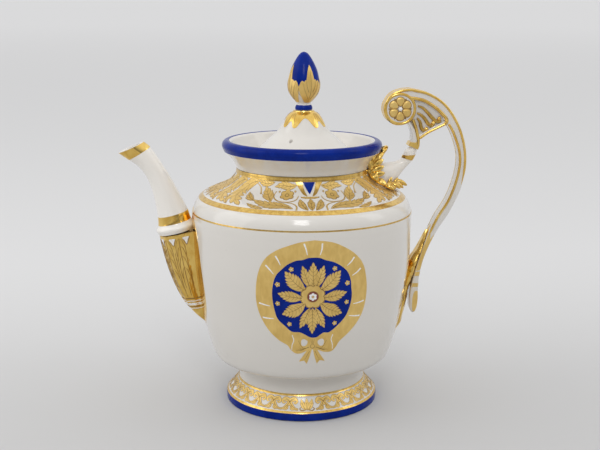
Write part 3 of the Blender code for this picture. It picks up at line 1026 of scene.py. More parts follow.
handleShape = {
    "scrollCentre": (60.2, 185.2),
    "scrollRadius": 10.1,
    "crown": [(52.3, 191.6), (55.9, 195.0), (61.4, 196.9), (67.0, 197.4)],
    "spine": [(67.0, 197.4), (79.0, 194.2), (90.0, 186.3), (98.6, 171.9), (102.4, 155.0),
              (100.4, 137.3), (93.3, 120.7), (84.8, 107.3), (78.1, 92.5), (75.0, 80.0),
              (74.0, 66.2), (73.4, 58.6)],
    "heel": [(72.9, 55.9), (71.6, 54.6), (70.2, 55.0)],
    "inner": [(69.3, 58.0), (69.2, 68.0), (71.4, 79.2), (74.9, 91.5), (78.6, 103.0),
              (84.5, 116.4), (91.8, 128.6), (96.9, 143.7), (97.7, 156.4), (93.7, 169.0),
              (90.2, 175.2)],
    "webUnder": [(88.6, 175.3), (80.4, 171.8), (74.4, 168.2), (72.3, 165.4)],
    "neck": [(71.7, 163.0), (67.4, 161.2), (68.0, 165.0), (68.0, 170.2), (66.4, 174.4)],
    "webArc": (36, -52),
    "webEdge": [(72.0, 168.6), (82.0, 174.6), (88.2, 177.4), (86.4, 181.2), (80.0, 186.6),
                (73.5, 189.6)],
    "recess": 1.8,
    "bevel": 0.55,
}
spineLine = flow(handleShape["spine"], 8)
innerLine = flow(handleShape["inner"], 8)


def outlineSolid(heap, outline, near, far):
    # a flat outline in x and z made thick along y
    outline = np.asarray(outline, float)
    count = len(outline)
    points = [(x, near, z) for x, z in outline] + [(x, far, z) for x, z in outline]
    faces = [tuple(range(count)), tuple(range(count, 2 * count))]
    faces += [(i, (i + 1) % count, count + (i + 1) % count, count + i) for i in range(count)]
    heap.add(points, faces)


def makeLoop():
    shape = handleShape
    scroll = np.vstack([arc(shape["scrollCentre"], shape["scrollRadius"], -62, -200, 28),
                        flow(shape["crown"], 5)[1:]])
    outline = np.vstack([scroll, spineLine[1:], shape["heel"], innerLine,
                         flow(shape["webUnder"], 4), flow(shape["neck"], 3)])
    heap = Heap()
    outlineSolid(heap, outline, -strapHalf, strapHalf)
    loop = heap.make("handleLoop", ["porcelain"], "pot", "porcelain", replaced=["handle_loop"])
    web = np.vstack([arc(shape["scrollCentre"], shape["scrollRadius"], *shape["webArc"], 12),
                     shape["webEdge"]])
    heap = Heap()
    for side in (-1, 1):
        outlineSolid(heap, web, side * (strapHalf - shape["recess"]), side * (strapHalf + 3))
    cutter = heap.make("webCutter", ["porcelain"], "pot", "porcelain")
    carve(loop, cutter)
    bevel = loop.modifiers.new("softEdges", "BEVEL")
    bevel.width = shape["bevel"] * mm
    bevel.segments = 3
    bevel.limit_method = "ANGLE"
    bevel.angle_limit = math.radians(50)
    mesh = finishCut(loop, cutter)
    mesh.shade_smooth()
    mesh.set_sharp_from_angle(angle=math.radians(45))


armShape = {
    "stations": [(67.0, 160.8, 71.6, 162.8, 3.4), (64.6, 158.9, 72.0, 160.4, 4.3),
                 (63.4, 156.6, 71.6, 157.4, 4.3), (62.6, 154.6, 69.2, 152.6, 3.6),
                 (60.0, 152.6, 66.4, 149.4, 3.6), (55.0, 151.6, 63.2, 145.6, 4.4),
                 (48.0, 151.4, 59.4, 140.0, 6.0), (38.0, 152.2, 54.0, 130.0, 7.5)],
    # the cuff where the arm meets the loop: outline in x and z, then how far each layer grows
    # sideways and how deep it is
    "cuff": [(66.2, 162.3, -1), (68.6, 161.5, 0), (71.7, 159.9, 1), (72.5, 162.4, 1),
             (72.4, 164.9, 1), (70.0, 164.3, 0), (67.4, 164.6, -1)],
    "cuffLayers": ((0.0, 5.15), (0.22, 4.95), (0.34, 4.6)),
    "ring": (18, 25),
    "ringLift": 0.25,
}
armLine = flow(armShape["stations"], 8)


def makeArm():
    heap = Heap()
    heap.add(*skinned(ovals(armLine, 40)))
    # the arm takes the lighter copy of the porcelain: painted light
    heap.make("handleArm", ["brightPorcelain"], "pot", "porcelain", replaced=["handle_arm"])


makeLoop()
makeArm()
print("handle made")


# Painted ornament, drawn in degrees round and millimetres down, then laid on the surface

class Drawing:
    # flat shapes for one skin; scale is the millimetres that one degree covers there

    def __init__(self, scale):
        self.scale = scale
        self.shapes = []

    def shape(self, outline, tag, level=0, thick=1):
        # levels are 0.03 mm apart, so that later strokes lie over earlier ones
        self.shapes.append((np.asarray(outline, float), 0.03 * level, 0.03 * (level + thick), tag))

    def flat(self, points):
        return np.asarray(points, float) * (self.scale, 1)

    def back(self, points):
        return np.asarray(points, float) / (self.scale, 1)

    def stroke(self, points, start, middle, end, tag, level, steps=4):
        # a brush line: its width at the start, the middle and the end in millimetres
        line = flow(self.flat(points), steps)
        run = measured(line) / measured(line)[-1]
        half = np.interp(run, (0, 0.5, 1), (start, middle, end))[:, None] / 2
        side = sideways(line)
        outline = np.vstack([line + side * half, (line - side * half)[::-1]])
        self.shape(self.back(outline), tag, level)

    def serrated(self, points, width, lobes, cut, lean, fat, inset=0.0):
        # a leaf's outline: teeth lean to its tip, and it is widest at the share fat of its length
        line = evenly(flow(self.flat(points), 8), 80)
        length = measured(line)[-1]
        side = sideways(line)
        power = math.log(0.5) / math.log(fat)
        places = np.arange(80)
        rims = []
        for sign in (1, -1):
            rim = []
            for i in range(lobes):
                for f in (0.0, 0.3, 0.6, 0.85, 1.0):
                    t = (i + f) / lobes
                    reach = width * max(math.sin(math.pi * min(t, 1) ** power), 0) ** 0.8
                    out = max(reach * (1 - cut * (1 - f) ** 1.5) - inset, 0.02)
                    t = min(t + lean * out * f ** 2 / length * (1 - t), 1 - inset / length)
                    t = max(t, inset / length)
                    spot = t * 79
                    at = [np.interp(spot, places, line[:, k]) for k in (0, 1)]
                    to = [np.interp(spot, places, side[:, k]) for k in (0, 1)]
                    rim.append([at[k] + sign * to[k] * out for k in (0, 1)])
            rims.append(rim)
        return self.back(np.array(rims[0] + rims[1][::-1]))

    def leaf(self, points, width, lobes=5, cut=0.38, lean=0.9, fat=0.45, level=0, line=0.28,
             tags=(1, 0)):
        # a gold leaf with a dark edge, a rib and a vein to each lobe
        dark, gold = tags
        self.shape(self.serrated(points, width, lobes, cut, lean, fat), dark, level)
        self.shape(self.serrated(points, width, lobes, cut, lean, fat, line), gold, level + 1)
        spine = evenly(flow(self.flat(points), 8), 40)
        self.stroke(self.back(spine[2:36:4]), 0.42, 0.26, 0.10, dark, level + 2, 2)
        side = sideways(spine)
        power = math.log(0.5) / math.log(fat)
        for i in range(1, lobes):
            t = (i - 0.35) / lobes
            reach = width * math.sin(math.pi * t ** power) ** 0.8 * 0.66
            if reach < 0.8:
                continue
            root = spine[int(t * 39)]
            tip = spine[min(int((t + 0.55 / lobes + 0.03) * 39), 39)]
            for sign in (1, -1):
                end = tip + side[int(t * 39)] * sign * reach
                bend = (root + end) / 2 + side[int(t * 39)] * sign * reach * 0.12
                self.stroke(self.back([root, bend, end]), 0.20, 0.18, 0.07, dark, level + 2, 2)

    def disc(self, centre, radius, tag, level, sides=20):
        circle = arc(self.flat(centre), radius, 0, 360, sides)[:-1]
        self.shape(self.back(circle), tag, level)

    def flower(self, centre, radius, petals=6, level=0, tags=(1, 0), heart=None):
        # an open flower: round petals with dark edges about a heart
        dark, gold = tags
        spot = self.flat(centre)
        self.disc(centre, radius * 0.80, dark, level)
        for i in range(petals):
            angle = 2 * math.pi * (i + 0.5) / petals
            middle = spot + radius * 0.60 * np.array((math.cos(angle), math.sin(angle)))
            self.disc(self.back(middle), radius * 0.42, dark, level, 16)
            self.disc(self.back(middle), radius * 0.34, gold, level + 2, 16)
        self.disc(centre, radius * 0.30, dark, level + 3, 16)
        self.disc(centre, radius * 0.22, gold if heart is None else heart, level + 4, 14)

    def mirrored(self):
        self.shapes += [(outline * (-1, 1), *more) for outline, *more in self.shapes]

    def repeated(self, angle):
        self.shapes += [(outline + (angle, 0), *more) for outline, *more in self.shapes]

    def make(self, name, skin, tints, grid, turned=0.0, start=0.0):
        # the lowest shapes reach into the surface, and the others into the shape under them
        heap = Heap()
        for outline, low, high, tag in self.shapes:
            lay(heap, skin, outline + (turned, start), -0.04 if low == 0 else sunk + low - 0.01,
                sunk + high, tag, grid)
        heap.make(name, tints, "pot", "gilding", sharp=30)


friezeShape = {
    "scale": 0.925,
    "wing": [(9.5, 4.8), (15, 5.8), (21, 5.0), (27.5, 6.4)],
    "flare": [(5.7, 2.6), (10.8, 2.6), (9.2, 5.2), (7.0, 8.2), (4.6, 11.4), (1.8, 12.8),
              (3.6, 8.6)],
    "flowerAt": (16.2, 12.2),
    "flowerRadius": 4.7,
    "ringStem": [(8.0, 12.5), (9.8, 16.8), (14.8, 19.2), (21.4, 18.2), (25.4, 13.8), (25.0, 9.4)],
    "leaves": [
        # spine, half width, lobes
        ([(10.5, 26.0), (17, 23.2), (27, 22.6), (38, 19.0)], 3.7, 7),
        ([(25.4, 19.0), (29.5, 13.6), (34.8, 6.6)], 3.9, 5),
        ([(28.0, 3.4), (35, 4.8), (44, 3.2)], 2.3, 5),
        ([(42.6, 3.6), (50.0, 5.6), (55.0, 11.6), (53.0, 19.2), (43.6, 26.0)], 6.6, 6, 0.62),
        ([(57.0, 3.6), (64.4, 5.6), (69.4, 11.6), (67.4, 19.2), (58.0, 26.0)], 6.4, 6, 0.62),
        ([(71.4, 3.6), (78.6, 5.6), (83.4, 11.6), (81.6, 19.2), (72.6, 26.0)], 6.0, 6, 0.62),
        ([(36.6, 20.0), (42.0, 17.2), (46.4, 12.2)], 2.6, 4, 0.5),
        ([(27.5, 26.9), (34.5, 25.6), (40.0, 23.2)], 1.6, 4),
        ([(53.6, 26.8), (58.0, 23.0), (60.4, 17.6)], 1.7, 4),
        ([(68.0, 26.8), (72.4, 23.0), (74.8, 17.6)], 1.7, 4),
        ([(81.8, 26.8), (85.6, 22.4), (86.8, 16.0)], 1.5, 4),
    ],
    "stems": [
        [(8.6, 27.2), (8.8, 23.2), (11.4, 20.6), (15.2, 19.8)],
        [(24.8, 20.4), (26.2, 18.0), (27.4, 15.6)],
        [(36.4, 12.0), (39.4, 7.4), (44.2, 5.0)],
    ],
    "drop": [(2.2, 27.2), (5.2, 22.6), (7.0, 15.8)],
    "berries": ((22.4, 9.6), (10.6, 9.0), (36.4, 12.0), (57.6, 4.6), (72.4, 4.6)),
    "urn": [(-6.6, 13.3), (6.6, 13.3), (6.0, 14.4), (3.2, 15.2), (-3.2, 15.2), (-6.0, 14.4)],
    "middleLeaf": [(0, 27.4), (0, 21.0), (0, 15.2)],
    "triangle": [(-4.9, 2.8), (4.9, 2.8), (0, 11.2)],
    "sideLeaf": [(90, 27.0), (90, 17.0), (90, 3.6)],
}


def makeFrieze():
    shape = friezeShape
    drawing = Drawing(shape["scale"])
    drawing.shape(rounded(shape["flare"], 3), 2, 0, 2)
    drawing.leaf(shape["wing"], 2.9, 6)
    drawing.flower(shape["flowerAt"], shape["flowerRadius"])
    drawing.stroke(shape["ringStem"], 0.5, 1.0, 0.6, 1, 0)
    drawing.stroke(shape["ringStem"], 0.25, 0.6, 0.3, 0, 1)
    for spine, width, lobes, *cut in shape["leaves"]:
        drawing.leaf(spine, width, lobes, *(cut or [0.38]))
    for stem in shape["stems"]:
        drawing.stroke(stem, 0.9, 0.8, 0.4, 1, 0)
        drawing.stroke(stem, 0.6, 0.5, 0.2, 0, 1)
    drawing.leaf(shape["drop"], 2.3, 4, cut=0.25)
    for centre in shape["berries"]:
        drawing.disc(centre, 0.75, 1, 0, 12)
        drawing.disc(centre, 0.5, 0, 1, 12)
    drawing.mirrored()
    drawing.shape(shape["urn"], 1, 0)
    drawing.shape(np.array(shape["urn"]) * (0.9, 1) + (0, 0.06), 0, 1)
    drawing.leaf(shape["middleLeaf"], 2.3, 3, cut=0.2)
    drawing.shape(shape["triangle"], 3, 0, 3)
    half = list(drawing.shapes)
    drawing.leaf(shape["sideLeaf"], 4.2, 6)
    drawing.shapes += [(outline + (180, 0), *more) for outline, *more in half]
    drawing.leaf(np.array(shape["sideLeaf"]) + (180, 0), 4.2, 6)
    drawing.make("shoulderFrieze", bodySkin, ["flatGold", "goldShade", "goldLine", "cobalt"],
                 (3.6, 1.5), frontTurn)


footFriezeShape = {
    "scale": 0.768,
    "units": 12,
    "start": 7.0,
    # degrees from a unit's start, and millimetres down
    "scroll": [(3.6, 4.7), (2.0, 5.3), (0.9, 3.9), (2.8, 2.3), (5.8, 3.2), (8.2, 6.0),
               (10.9, 8.5), (14.0, 9.3)],
    "leaves": (([(7.0, 4.6), (9.6, 3.2), (12.6, 3.8)], 1.25),
               ([(5.6, 6.6), (4.8, 8.6), (1.8, 9.4)], 1.15)),
    "sprig": [(0.9, 9.8), (3.2, 6.4), (4.6, 2.4)],
    "hook": [(1.0, 9.4), (4.0, 9.9), (5.6, 8.8), (4.4, 7.8)],
    "middleLeaf": [(0, 9.9), (0, 6.0), (0, 1.9)],
    "top": 14.1,
    "turn": -1.2,
}


def makeFootFrieze():
    shape = footFriezeShape
    drawing = Drawing(shape["scale"])
    pitch = (180 - 2 * shape["start"]) / shape["units"]
    for k in range(shape["units"]):
        at = shape["start"] + k * pitch
        scroll = [(at + x, y) for x, y in shape["scroll"]]
        drawing.stroke(scroll, 0.9, 2.9, 1.3, 1, 0)
        drawing.stroke(scroll, 0.5, 2.3, 0.7, 0, 1)
        drawing.stroke(scroll[3:], 0.2, 0.45, 0.2, 1, 2)
        for leaf, width in shape["leaves"]:
            drawing.leaf([(at + x, y) for x, y in leaf], width, 3, cut=0.22, line=0.24)
    drawing.leaf(shape["sprig"], 1.5, 3, cut=0.25, line=0.2)
    drawing.stroke(shape["hook"], 0.5, 0.8, 0.4, 1, 0)
    drawing.mirrored()
    drawing.leaf(shape["middleLeaf"], 1.5, 3, cut=0.25, line=0.2)
    drawing.repeated(180)
    drawing.make("footFrieze", footSkin, ["flatGold", "goldShade"], (4.0, 2.2),
                 frontTurn + shape["turn"], footSkin.down(shape["top"]))


bandShape = {
    # millimetres down the body from its neck
    "bodyTop": (0.0, 2.8),
    "bodyShoulder": (27.7, 31.4),
    # height of a line, then how far it reaches above and below
    "bodyLine": (122.5, 0.45, 0.45),
    "footJoint": (14.1, 0.7, 0.8),
    "footEdge": (5.4, 0.9, 0.6),
    "footEnd": 0.35,
    # where the rim's cobalt starts, down the collar, and the height where it ends
    "rim": (2.7, 159.75),
}


def makeBands():
    shape = bandShape
    heap = Heap()
    bodySkin.band(heap, *shape["bodyTop"], 0.09)
    bodySkin.band(heap, *shape["bodyShoulder"], 0.09)
    height, over, under = shape["bodyLine"]
    line = bodySkin.down(height)
    bodySkin.band(heap, line - over, line + under, 0.10)
    heap.make("bodyGoldBands", ["goldLine"], "pot", "gilding")
    heap = Heap()
    height, over, under = shape["footJoint"]
    joint = footSkin.down(height)
    footSkin.band(heap, joint - over, joint + under, 0.12)
    height, over, under = shape["footEdge"]
    edge = footSkin.down(height)
    footSkin.band(heap, edge - over, edge + under, 0.10)
    heap.make("footGoldBands", ["goldLine"], "pot", "gilding")
    heap = Heap()
    footSkin.band(heap, edge + under, footSkin.down(shape["footEnd"]), 0.07)
    start, end = shape["rim"]
    collarSkin.band(heap, start, collarSkin.down(end), 0.07)
    heap.make("cobaltBands", ["cobalt"], "pot", "cobalt_glaze")


# The medallion: a gilt wreath tied with a bow, and on a cobalt field a spray of our own design

medallionShape = {
    "scale": 1.172,
    "top": 122.0,
    "wreath": [(1.5, 4.3), (10, 5.8), (17, 9.6), (22.5, 14.2), (26.8, 20.5), (29.0, 29), (29.9, 38),
               (29.2, 48), (26.3, 56), (21.5, 62.5), (16.5, 67.5), (14.5, 71.5), (12, 74.2),
               (8, 74.2), (5, 72.8), (2.6, 72.2), (0.6, 72.2), (-2.2, 73.2), (-5, 74.8), (-8, 74.8),
               (-10.6, 72.4), (-12.4, 69.4), (-17, 66.2), (-22, 60.5), (-25.8, 53), (-27.8, 45),
               (-28.0, 36), (-26.4, 25), (-23.0, 16.5), (-17.5, 11.0), (-11, 7.6), (-5, 5.4)],
    "field": [(-1.8, 14.7), (1.4, 14.5), (4.2, 14.8), (7, 16.2), (11, 17.6), (15, 20.4), (18.2, 24),
              (20, 29), (20.6, 34), (21.2, 39), (20.6, 45), (18.6, 51.5), (15, 56.4), (10.2, 61.0),
              (6.8, 61.2), (3.4, 63.9), (0.2, 64.0), (-2.4, 62.4), (-5.6, 60.6), (-9.8, 60.2),
              (-13.4, 56.6), (-17, 52.4), (-18.6, 46), (-19.4, 38), (-18.8, 31), (-17.2, 25.5),
              (-14.6, 22), (-11.6, 18.8), (-7.6, 16.4), (-4.2, 15.8)],
    "rays": [((-3.6, 6.2), (-2.0, 13.0)), ((5.2, 6.2), (4.2, 13.0)), ((21.6, 15.6), (17.8, 20.4)),
             ((25.4, 22.8), (20.8, 26.6)), ((28.6, 43.2), (22.4, 44.4)),
             ((27.0, 52.6), (20.4, 51.6)), ((-26.6, 43.2), (-20.6, 44.6)),
             ((-25.0, 52.2), (-19.0, 52.4)), ((-17.4, 13.8), (-15.0, 19.2)),
             ((-22.4, 19.6), (-18.4, 24.8))],
    # where the bow's right and left halves start, then one half: millimetres out from there
    "bowStarts": {1: 1.4, -1: 1.2},
    "wave": [(10.8, 62.6), (10.0, 66.0), (10.9, 69.0), (11.2, 72.4)],
    "hole": [(2.6, 66.4), (4.6, 65.0), (6.0, 66.2), (5.8, 69.2), (4.2, 69.8), (2.8, 68.2)],
    "fold": [(7.6, 66.2), (5.0, 71.2), (1.6, 70.6)],
    "tail": [(0.2, 72.0), (2.6, 72.4), (4.6, 76.0), (7.4, 80.6), (4.4, 79.8), (2.8, 82.2),
             (1.2, 77.0)],
    "tailFold": [(1.4, 73.4), (3.0, 77.0), (4.2, 79.6)],
    "knot": (1.3, 70.0),
    # the spray: a large flower, long leaves out of it, and buds between them
    "flowerAt": (0.9, 38.0),
    "leaves": [([(4.4, 34.6), (9.4, 30.0), (14.6, 22.8)], 4.3, 8),
               ([(5.4, 39.0), (11.6, 38.2), (18.4, 36.2)], 3.5, 7),
               ([(4.6, 42.0), (9.6, 46.4), (16.4, 49.4)], 4.3, 8),
               ([(2.2, 45.0), (4.6, 51.6), (7.4, 58.0)], 2.9, 6),
               ([(2.2, 33.0), (4.2, 26.6), (6.2, 19.2)], 2.9, 6)],
    "upLeaf": [(0.9, 32.0), (0.9, 25.0), (0.9, 17.2)],
    "downLeaf": [(0.9, 45.0), (0.9, 53.0), (0.9, 61.8)],
    # out from the flower's middle, millimetres down, size
    "buds": ((10.6, 21.4, 1.5), (17.4, 30.8, 1.6), (17.6, 42.6, 1.5), (11.8, 55.4, 1.5)),
}


def drawBow(drawing):
    shape = medallionShape
    for sign, start in shape["bowStarts"].items():
        half = {key: [(start + sign * x, y) for x, y in shape[key]]
                for key in ("wave", "hole", "fold", "tail", "tailFold")}
        drawing.stroke(half["wave"], 0.5, 0.55, 0.35, 3, 1)
        drawing.shape(rounded(half["hole"], 3), 4, 1)
        drawing.stroke(half["fold"], 0.15, 0.25, 0.2, 1, 1)
        drawing.shape(half["tail"], 0, 0)
        for k in range(3):
            drawing.stroke([(start + sign * (2.2 + k), 70.6 + 0.5 * k),
                            (start + sign * (4.4 + k), 71.8 + 0.5 * k),
                            (start + sign * (7.0 + k), 71.4 + 0.6 * k)], 0.30, 0.26, 0.08, 1, 1)
        drawing.stroke(half["tailFold"], 0.26, 0.22, 0.1, 1, 1)
    x, y = shape["knot"]
    drawing.disc((x, y), 1.5, 1, 1, 18)
    drawing.disc((x, y - 0.1), 1.25, 0, 2, 18)
    for k in range(3):
        drawing.stroke([(0.4 + 0.9 * k, 65.0), (0.7 + 0.6 * k, 67.4), (1.1 + 0.2 * k, 69.4)],
                       0.12, 0.16, 0.10, 1, 1)


def drawSpray(drawing):
    shape = medallionShape
    middle = shape["flowerAt"]
    for spine, width, lobes in shape["leaves"]:
        for sign in (1, -1):
            turned = [(middle[0] + sign * (x - middle[0]), y) for x, y in spine]
            drawing.leaf(turned, width, lobes, level=3, line=0.22)
    drawing.leaf(shape["upLeaf"], 3.1, 6, level=3, line=0.22)
    drawing.leaf(shape["downLeaf"], 3.4, 7, level=3, line=0.22)
    for sign in (1, -1):
        for x, y, size in shape["buds"]:
            drawing.flower((middle[0] + sign * x, y), size, 5, level=3, heart=3)
    drawing.flower(middle, 7.4, 8, level=4)
    drawing.disc(middle, 3.5, 1, 8, 28)
    drawing.disc(middle, 3.1, 5, 9, 28)
    drawing.flower(middle, 2.5, 6, level=10, tags=(5, 3), heart=0)


def makeMedallion():
    shape = medallionShape
    drawing = Drawing(shape["scale"])
    drawing.shape(rounded(shape["wreath"], 4), 0, 0)
    drawing.shape(rounded(shape["field"], 4), 2, 1, 2)
    for start, end in shape["rays"]:
        bend = np.array([start, (np.array(start) + np.array(end)) / 2 + (0.25, 0.2), end])
        drawing.stroke(bend, 0.9, 0.75, 0.35, 3, 1)
    drawBow(drawing)
    drawSpray(drawing)
    tints = ["flatGold", "goldShade", "cobalt", "white", "porcelain", "ruby"]
    drawing.make("medallion", bodySkin, tints, (2.5, 4.0), start=bodySkin.down(shape["top"]))


makeFrieze()
print("shoulder frieze laid")
makeFootFrieze()
makeBands()
print("foot frieze and bands laid")
makeMedallion()
print("medallion laid")


# Leaves on the knob and the lid

lidLeafShape = {
    # degrees from the notch between two leaves, and height
    "lid": [(0, 180.4), (6, 179.9), (12, 178.8), (18, 177.0), (23, 175.4), (28, 174.7),
            (34, 175.1), (38, 176.8), (41, 178.0), (45, 178.4), (49, 178.0), (52, 176.8),
            (56, 175.1), (62, 174.7), (67, 175.4), (72, 177.0), (78, 178.8), (84, 179.9)],
    "knob": [(-45, 199.4), (-42, 200.6), (-38, 202.2), (-33, 203.0), (-28, 202.6), (-25, 202.2),
             (-22, 203.2), (-17, 203.4), (-15, 205.6), (-12, 208.2), (-7, 210.6), (0, 212.4),
             (5, 210.9), (9, 208.4), (12, 205.6), (14, 203.6), (20, 203.6), (25, 202.4),
             (29, 203.0), (34, 203.0), (39, 202.0), (42, 200.6), (45, 199.4), (44.8, 197.2),
             (41, 194.6),
             (34, 192.0), (26, 189.7), (0, 189.3), (-26, 189.7), (-34, 192.0), (-41, 194.6),
             (-44.8, 197.2)],
    "turn": 22.0,
    # veins: start and end of each, in degrees and height
    "lidVeins": (((45, 183.0), (45, 179.4)), ((38, 182.6), (29, 176.2)),
                 ((52, 182.6), (61, 176.2)), ((0, 183.2), (0, 181.0))),
    "knobVeins": (((0, 190.0), (0, 209.0)), ((-6, 191.6), (-30, 202.0)),
                  ((6, 191.6), (32, 202.0)), ((-44.6, 198.6), (-40, 193.8)),
                  ((-8, 196.0), (-17, 203.0)), ((8, 196.0), (18, 203.0))),
    "ring": [(6.78, 183.55), (6.4, 184.36), (4.9, 184.42), (4.9, 184.2), (6.1, 184.1),
             (6.4, 183.5)],
    "collarBand": (187.7, 184.8),
}


def vein(heap, skin, points, widths, low, high, stretch, grid):
    # a fine line through degrees and heights; stretch turns degrees to about millimetres and back
    path = flow([(angle, skin.down(height)) for angle, height in points], 5)
    side = sideways(path * (stretch[0], 1)) * (stretch[1], 1)
    half = np.linspace(*widths, len(path))[:, None] / 2
    outline = np.vstack([path + side * half, (path - side * half)[::-1]])
    lay(heap, skin, outline, low, high, 1, grid)


def makeLidLeaves():
    shape = lidLeafShape
    heap = Heap()
    edge = np.array([(angle + 90 * k, height) for k in range(4) for angle, height in shape["lid"]])
    edge[:, 1] = [lidSkin.down(height) for height in edge[:, 1]]
    soft = flow(np.vstack([edge, edge[:1] + (360, 0)]), 3)
    top = np.array([(angle, 0.01) for angle in np.linspace(360, 0, 73)])
    lay(heap, lidSkin, np.vstack([soft, top]), -sunk, 0.22, 0, (5, 2.0))
    for k in range(4):
        for start, end in shape["lidVeins"]:
            bend = ((start[0] * 2 + end[0]) / 3, (start[1] + end[1]) / 2)
            vein(heap, lidSkin, [(angle + 90 * k, height) for angle, height in (start, bend, end)],
                 (0.26, 0.08), 0.20, 0.30, (0.2, 5), (5, 2.0))
    turn(heap, shape["ring"], 0, lidOff, 96, closed=True)
    heap.make("lidLeaves", ["reliefGold", "goldShade"], "lid", "gilding")
    heap = Heap()
    outline = np.array([(angle, budSkin.down(height)) for angle, height in shape["knob"]])
    for k in range(4):
        turned = shape["turn"] + 90 * k
        lay(heap, budSkin, outline + (turned, 0), -sunk, 0.20, 0, (5, 1.6))
        for start, end in shape["knobVeins"]:
            bend = ((start[0] * 0.45 + end[0] * 0.55) * 1.15, (start[1] + end[1]) / 2)
            vein(heap, budSkin, [(angle + turned, height) for angle, height in (start, bend, end)],
                 (0.28, 0.10), 0.18, 0.27, (0.16, 6), (5, 1.6))
    heap.make("knobLeaves", ["flatGold", "goldShade"], "lid", "gilding")
    heap = Heap()
    start, end = shape["collarBand"]
    budSkin.band(heap, budSkin.down(start), budSkin.down(end), 0.12, 96)
    heap.make("knobCollarBand", ["cobalt"], "lid", "cobalt_glaze")


makeLidLeaves()
print("lid and knob leaves laid")


# Gilding on the handle

gildingShape = {
    "lineEnd": 134.0,
    "innerEnd": 104.0,
    "bead": 0.82,
    "webTop": [(66.4, 191.9), (70.2, 191.4), (75.8, 189.9), (82.8, 185.5), (88.7, 179.9)],
    "webCorner": [(88.7, 179.9), (89.6, 177.6), (88.6, 175.7)],
    "webBottom": [(88.6, 175.7), (83.2, 173.1), (77.6, 170.3), (72.9, 166.9)],
    "webLeft": [(68.2, 178.6), (69.9, 174.5), (71.0, 170.4), (71.9, 166.2), (71.9, 162.6)],
    "curls": [([(71.5, 186.8), (74.7, 185.5), (77.9, 182.4), (80.5, 179.6), (83.1, 177.3),
                (85.4, 177.3)], (84.9, 179.0)),
              ([(71.0, 182.5), (73.6, 181.2), (76.1, 178.7), (78.1, 175.8), (80.6, 174.5)],
               (81.2, 176.3)),
              ([(71.1, 179.4), (73.0, 176.9), (73.7, 173.8), (75.1, 171.8)], (77.0, 172.6))],
    # each line round the sunk web, with its bead's radius
    "webBeads": (("webTop", 1.05), ("webCorner", 1.10), ("webBottom", 0.88), ("webLeft", 1.0)),
    "cornerBall": (89.3, 177.8, 1.25),
    "ring": (8.3, 10.0),
    "petals": 6,
    "sepal": ((4.9, 0.7), (6.1, 1.0), (7.5, 0.0), (6.1, -1.0), (4.9, -0.7)),
    "heart": 1.25,
}


def lineOn(side, points, depth):
    return np.array([(x, side * depth, z) for x, z in points])


def scrollRing(heap, centre, face, side):
    # the raised ring round a flower boss
    low, high = gildingShape["ring"]
    middle = (low + high) / 2
    rings = []
    for across in np.linspace(0, math.pi, 9):
        circle = arc(centre, middle - (high - low) / 2 * math.cos(across), 0, 360, 72)[:-1]
        rings.append(lineOn(side, circle, face + 0.75 * math.sin(across)))
    rings.append(lineOn(side, arc(centre, middle, 0, 360, 72)[:-1], face - 0.4))
    heap.add(*skinned(rings, closed=True))


def makeHandleGilding():
    shape = gildingShape
    face = strapHalf
    centre = np.array(handleShape["scrollCentre"])
    outer = np.vstack([arc(centre, handleShape["scrollRadius"], -50, -198, 40),
                       flow(handleShape["crown"], 6)[1:], spineLine[1:]])
    stop = int(np.argmax((outer[:, 1] < shape["lineEnd"]) & (outer[:, 0] > 80)))
    outer = evenly(outer[:stop], 150)
    out = sideways(outer)
    heap = Heap()
    ends = np.clip(np.minimum(np.arange(150) + 1, np.arange(150)[::-1]) / 14, 0.12, 1)
    fade = np.clip(np.arange(150)[::-1] / 12, 0.1, 1)
    ribbon(heap, outer, (face - 0.9) * fade, 0.10)
    inner = evenly(innerLine[::-1], 150)
    inner = inner[inner[:, 1] > shape["innerEnd"]]
    inwards = sideways(inner)
    inwards = inwards * np.sign(inwards[len(inner) // 2, 0])
    thin = np.clip(np.arange(len(inner))[::-1] / 10 + 0.3, 0.2, 1)
    for side in (-1, 1):
        edge = outer - out * 0.55
        tube(heap, lineOn(side, edge, face - 0.15), shape["bead"] * ends)
        edge = inner + inwards * 0.75
        tube(heap, lineOn(side, edge, face - 0.10), shape["bead"] * thin)
        for key, size in shape["webBeads"]:
            tube(heap, lineOn(side, flow(shape[key], 6), face - 0.25), size)
        x, z, size = shape["cornerBall"]
        ball(heap, (x, side * (face - 0.2), z), size)
        for curl, end in shape["curls"]:
            path = flow(curl + [end], 6)
            swell = 0.50 + 0.62 * np.sin(np.linspace(0.10, 2.9, len(path)))
            # the curls take the darker gold copy: painted shade
            tube(heap, lineOn(side, path, face - 1.2), swell, 1)
            ball(heap, (end[0], side * (face - 0.9), end[1]), 1.30)
        scrollRing(heap, centre, face, side)
    heap.make("handleGilding", ["reliefGold", "paintedShadeGold"], "pot", "gilding", sharp=50)


def makeArmRings():
    shape = armShape
    heap = Heap()
    sleeve(heap, armLine[slice(*shape["ring"])], 40, shape["ringLift"])
    for grow, deep in shape["cuffLayers"]:
        outlineSolid(heap, [(x + grow * way, z) for x, z, way in shape["cuff"]], -deep, deep)
    heap.make("armRings", ["reliefGold"], "pot", "gilding")


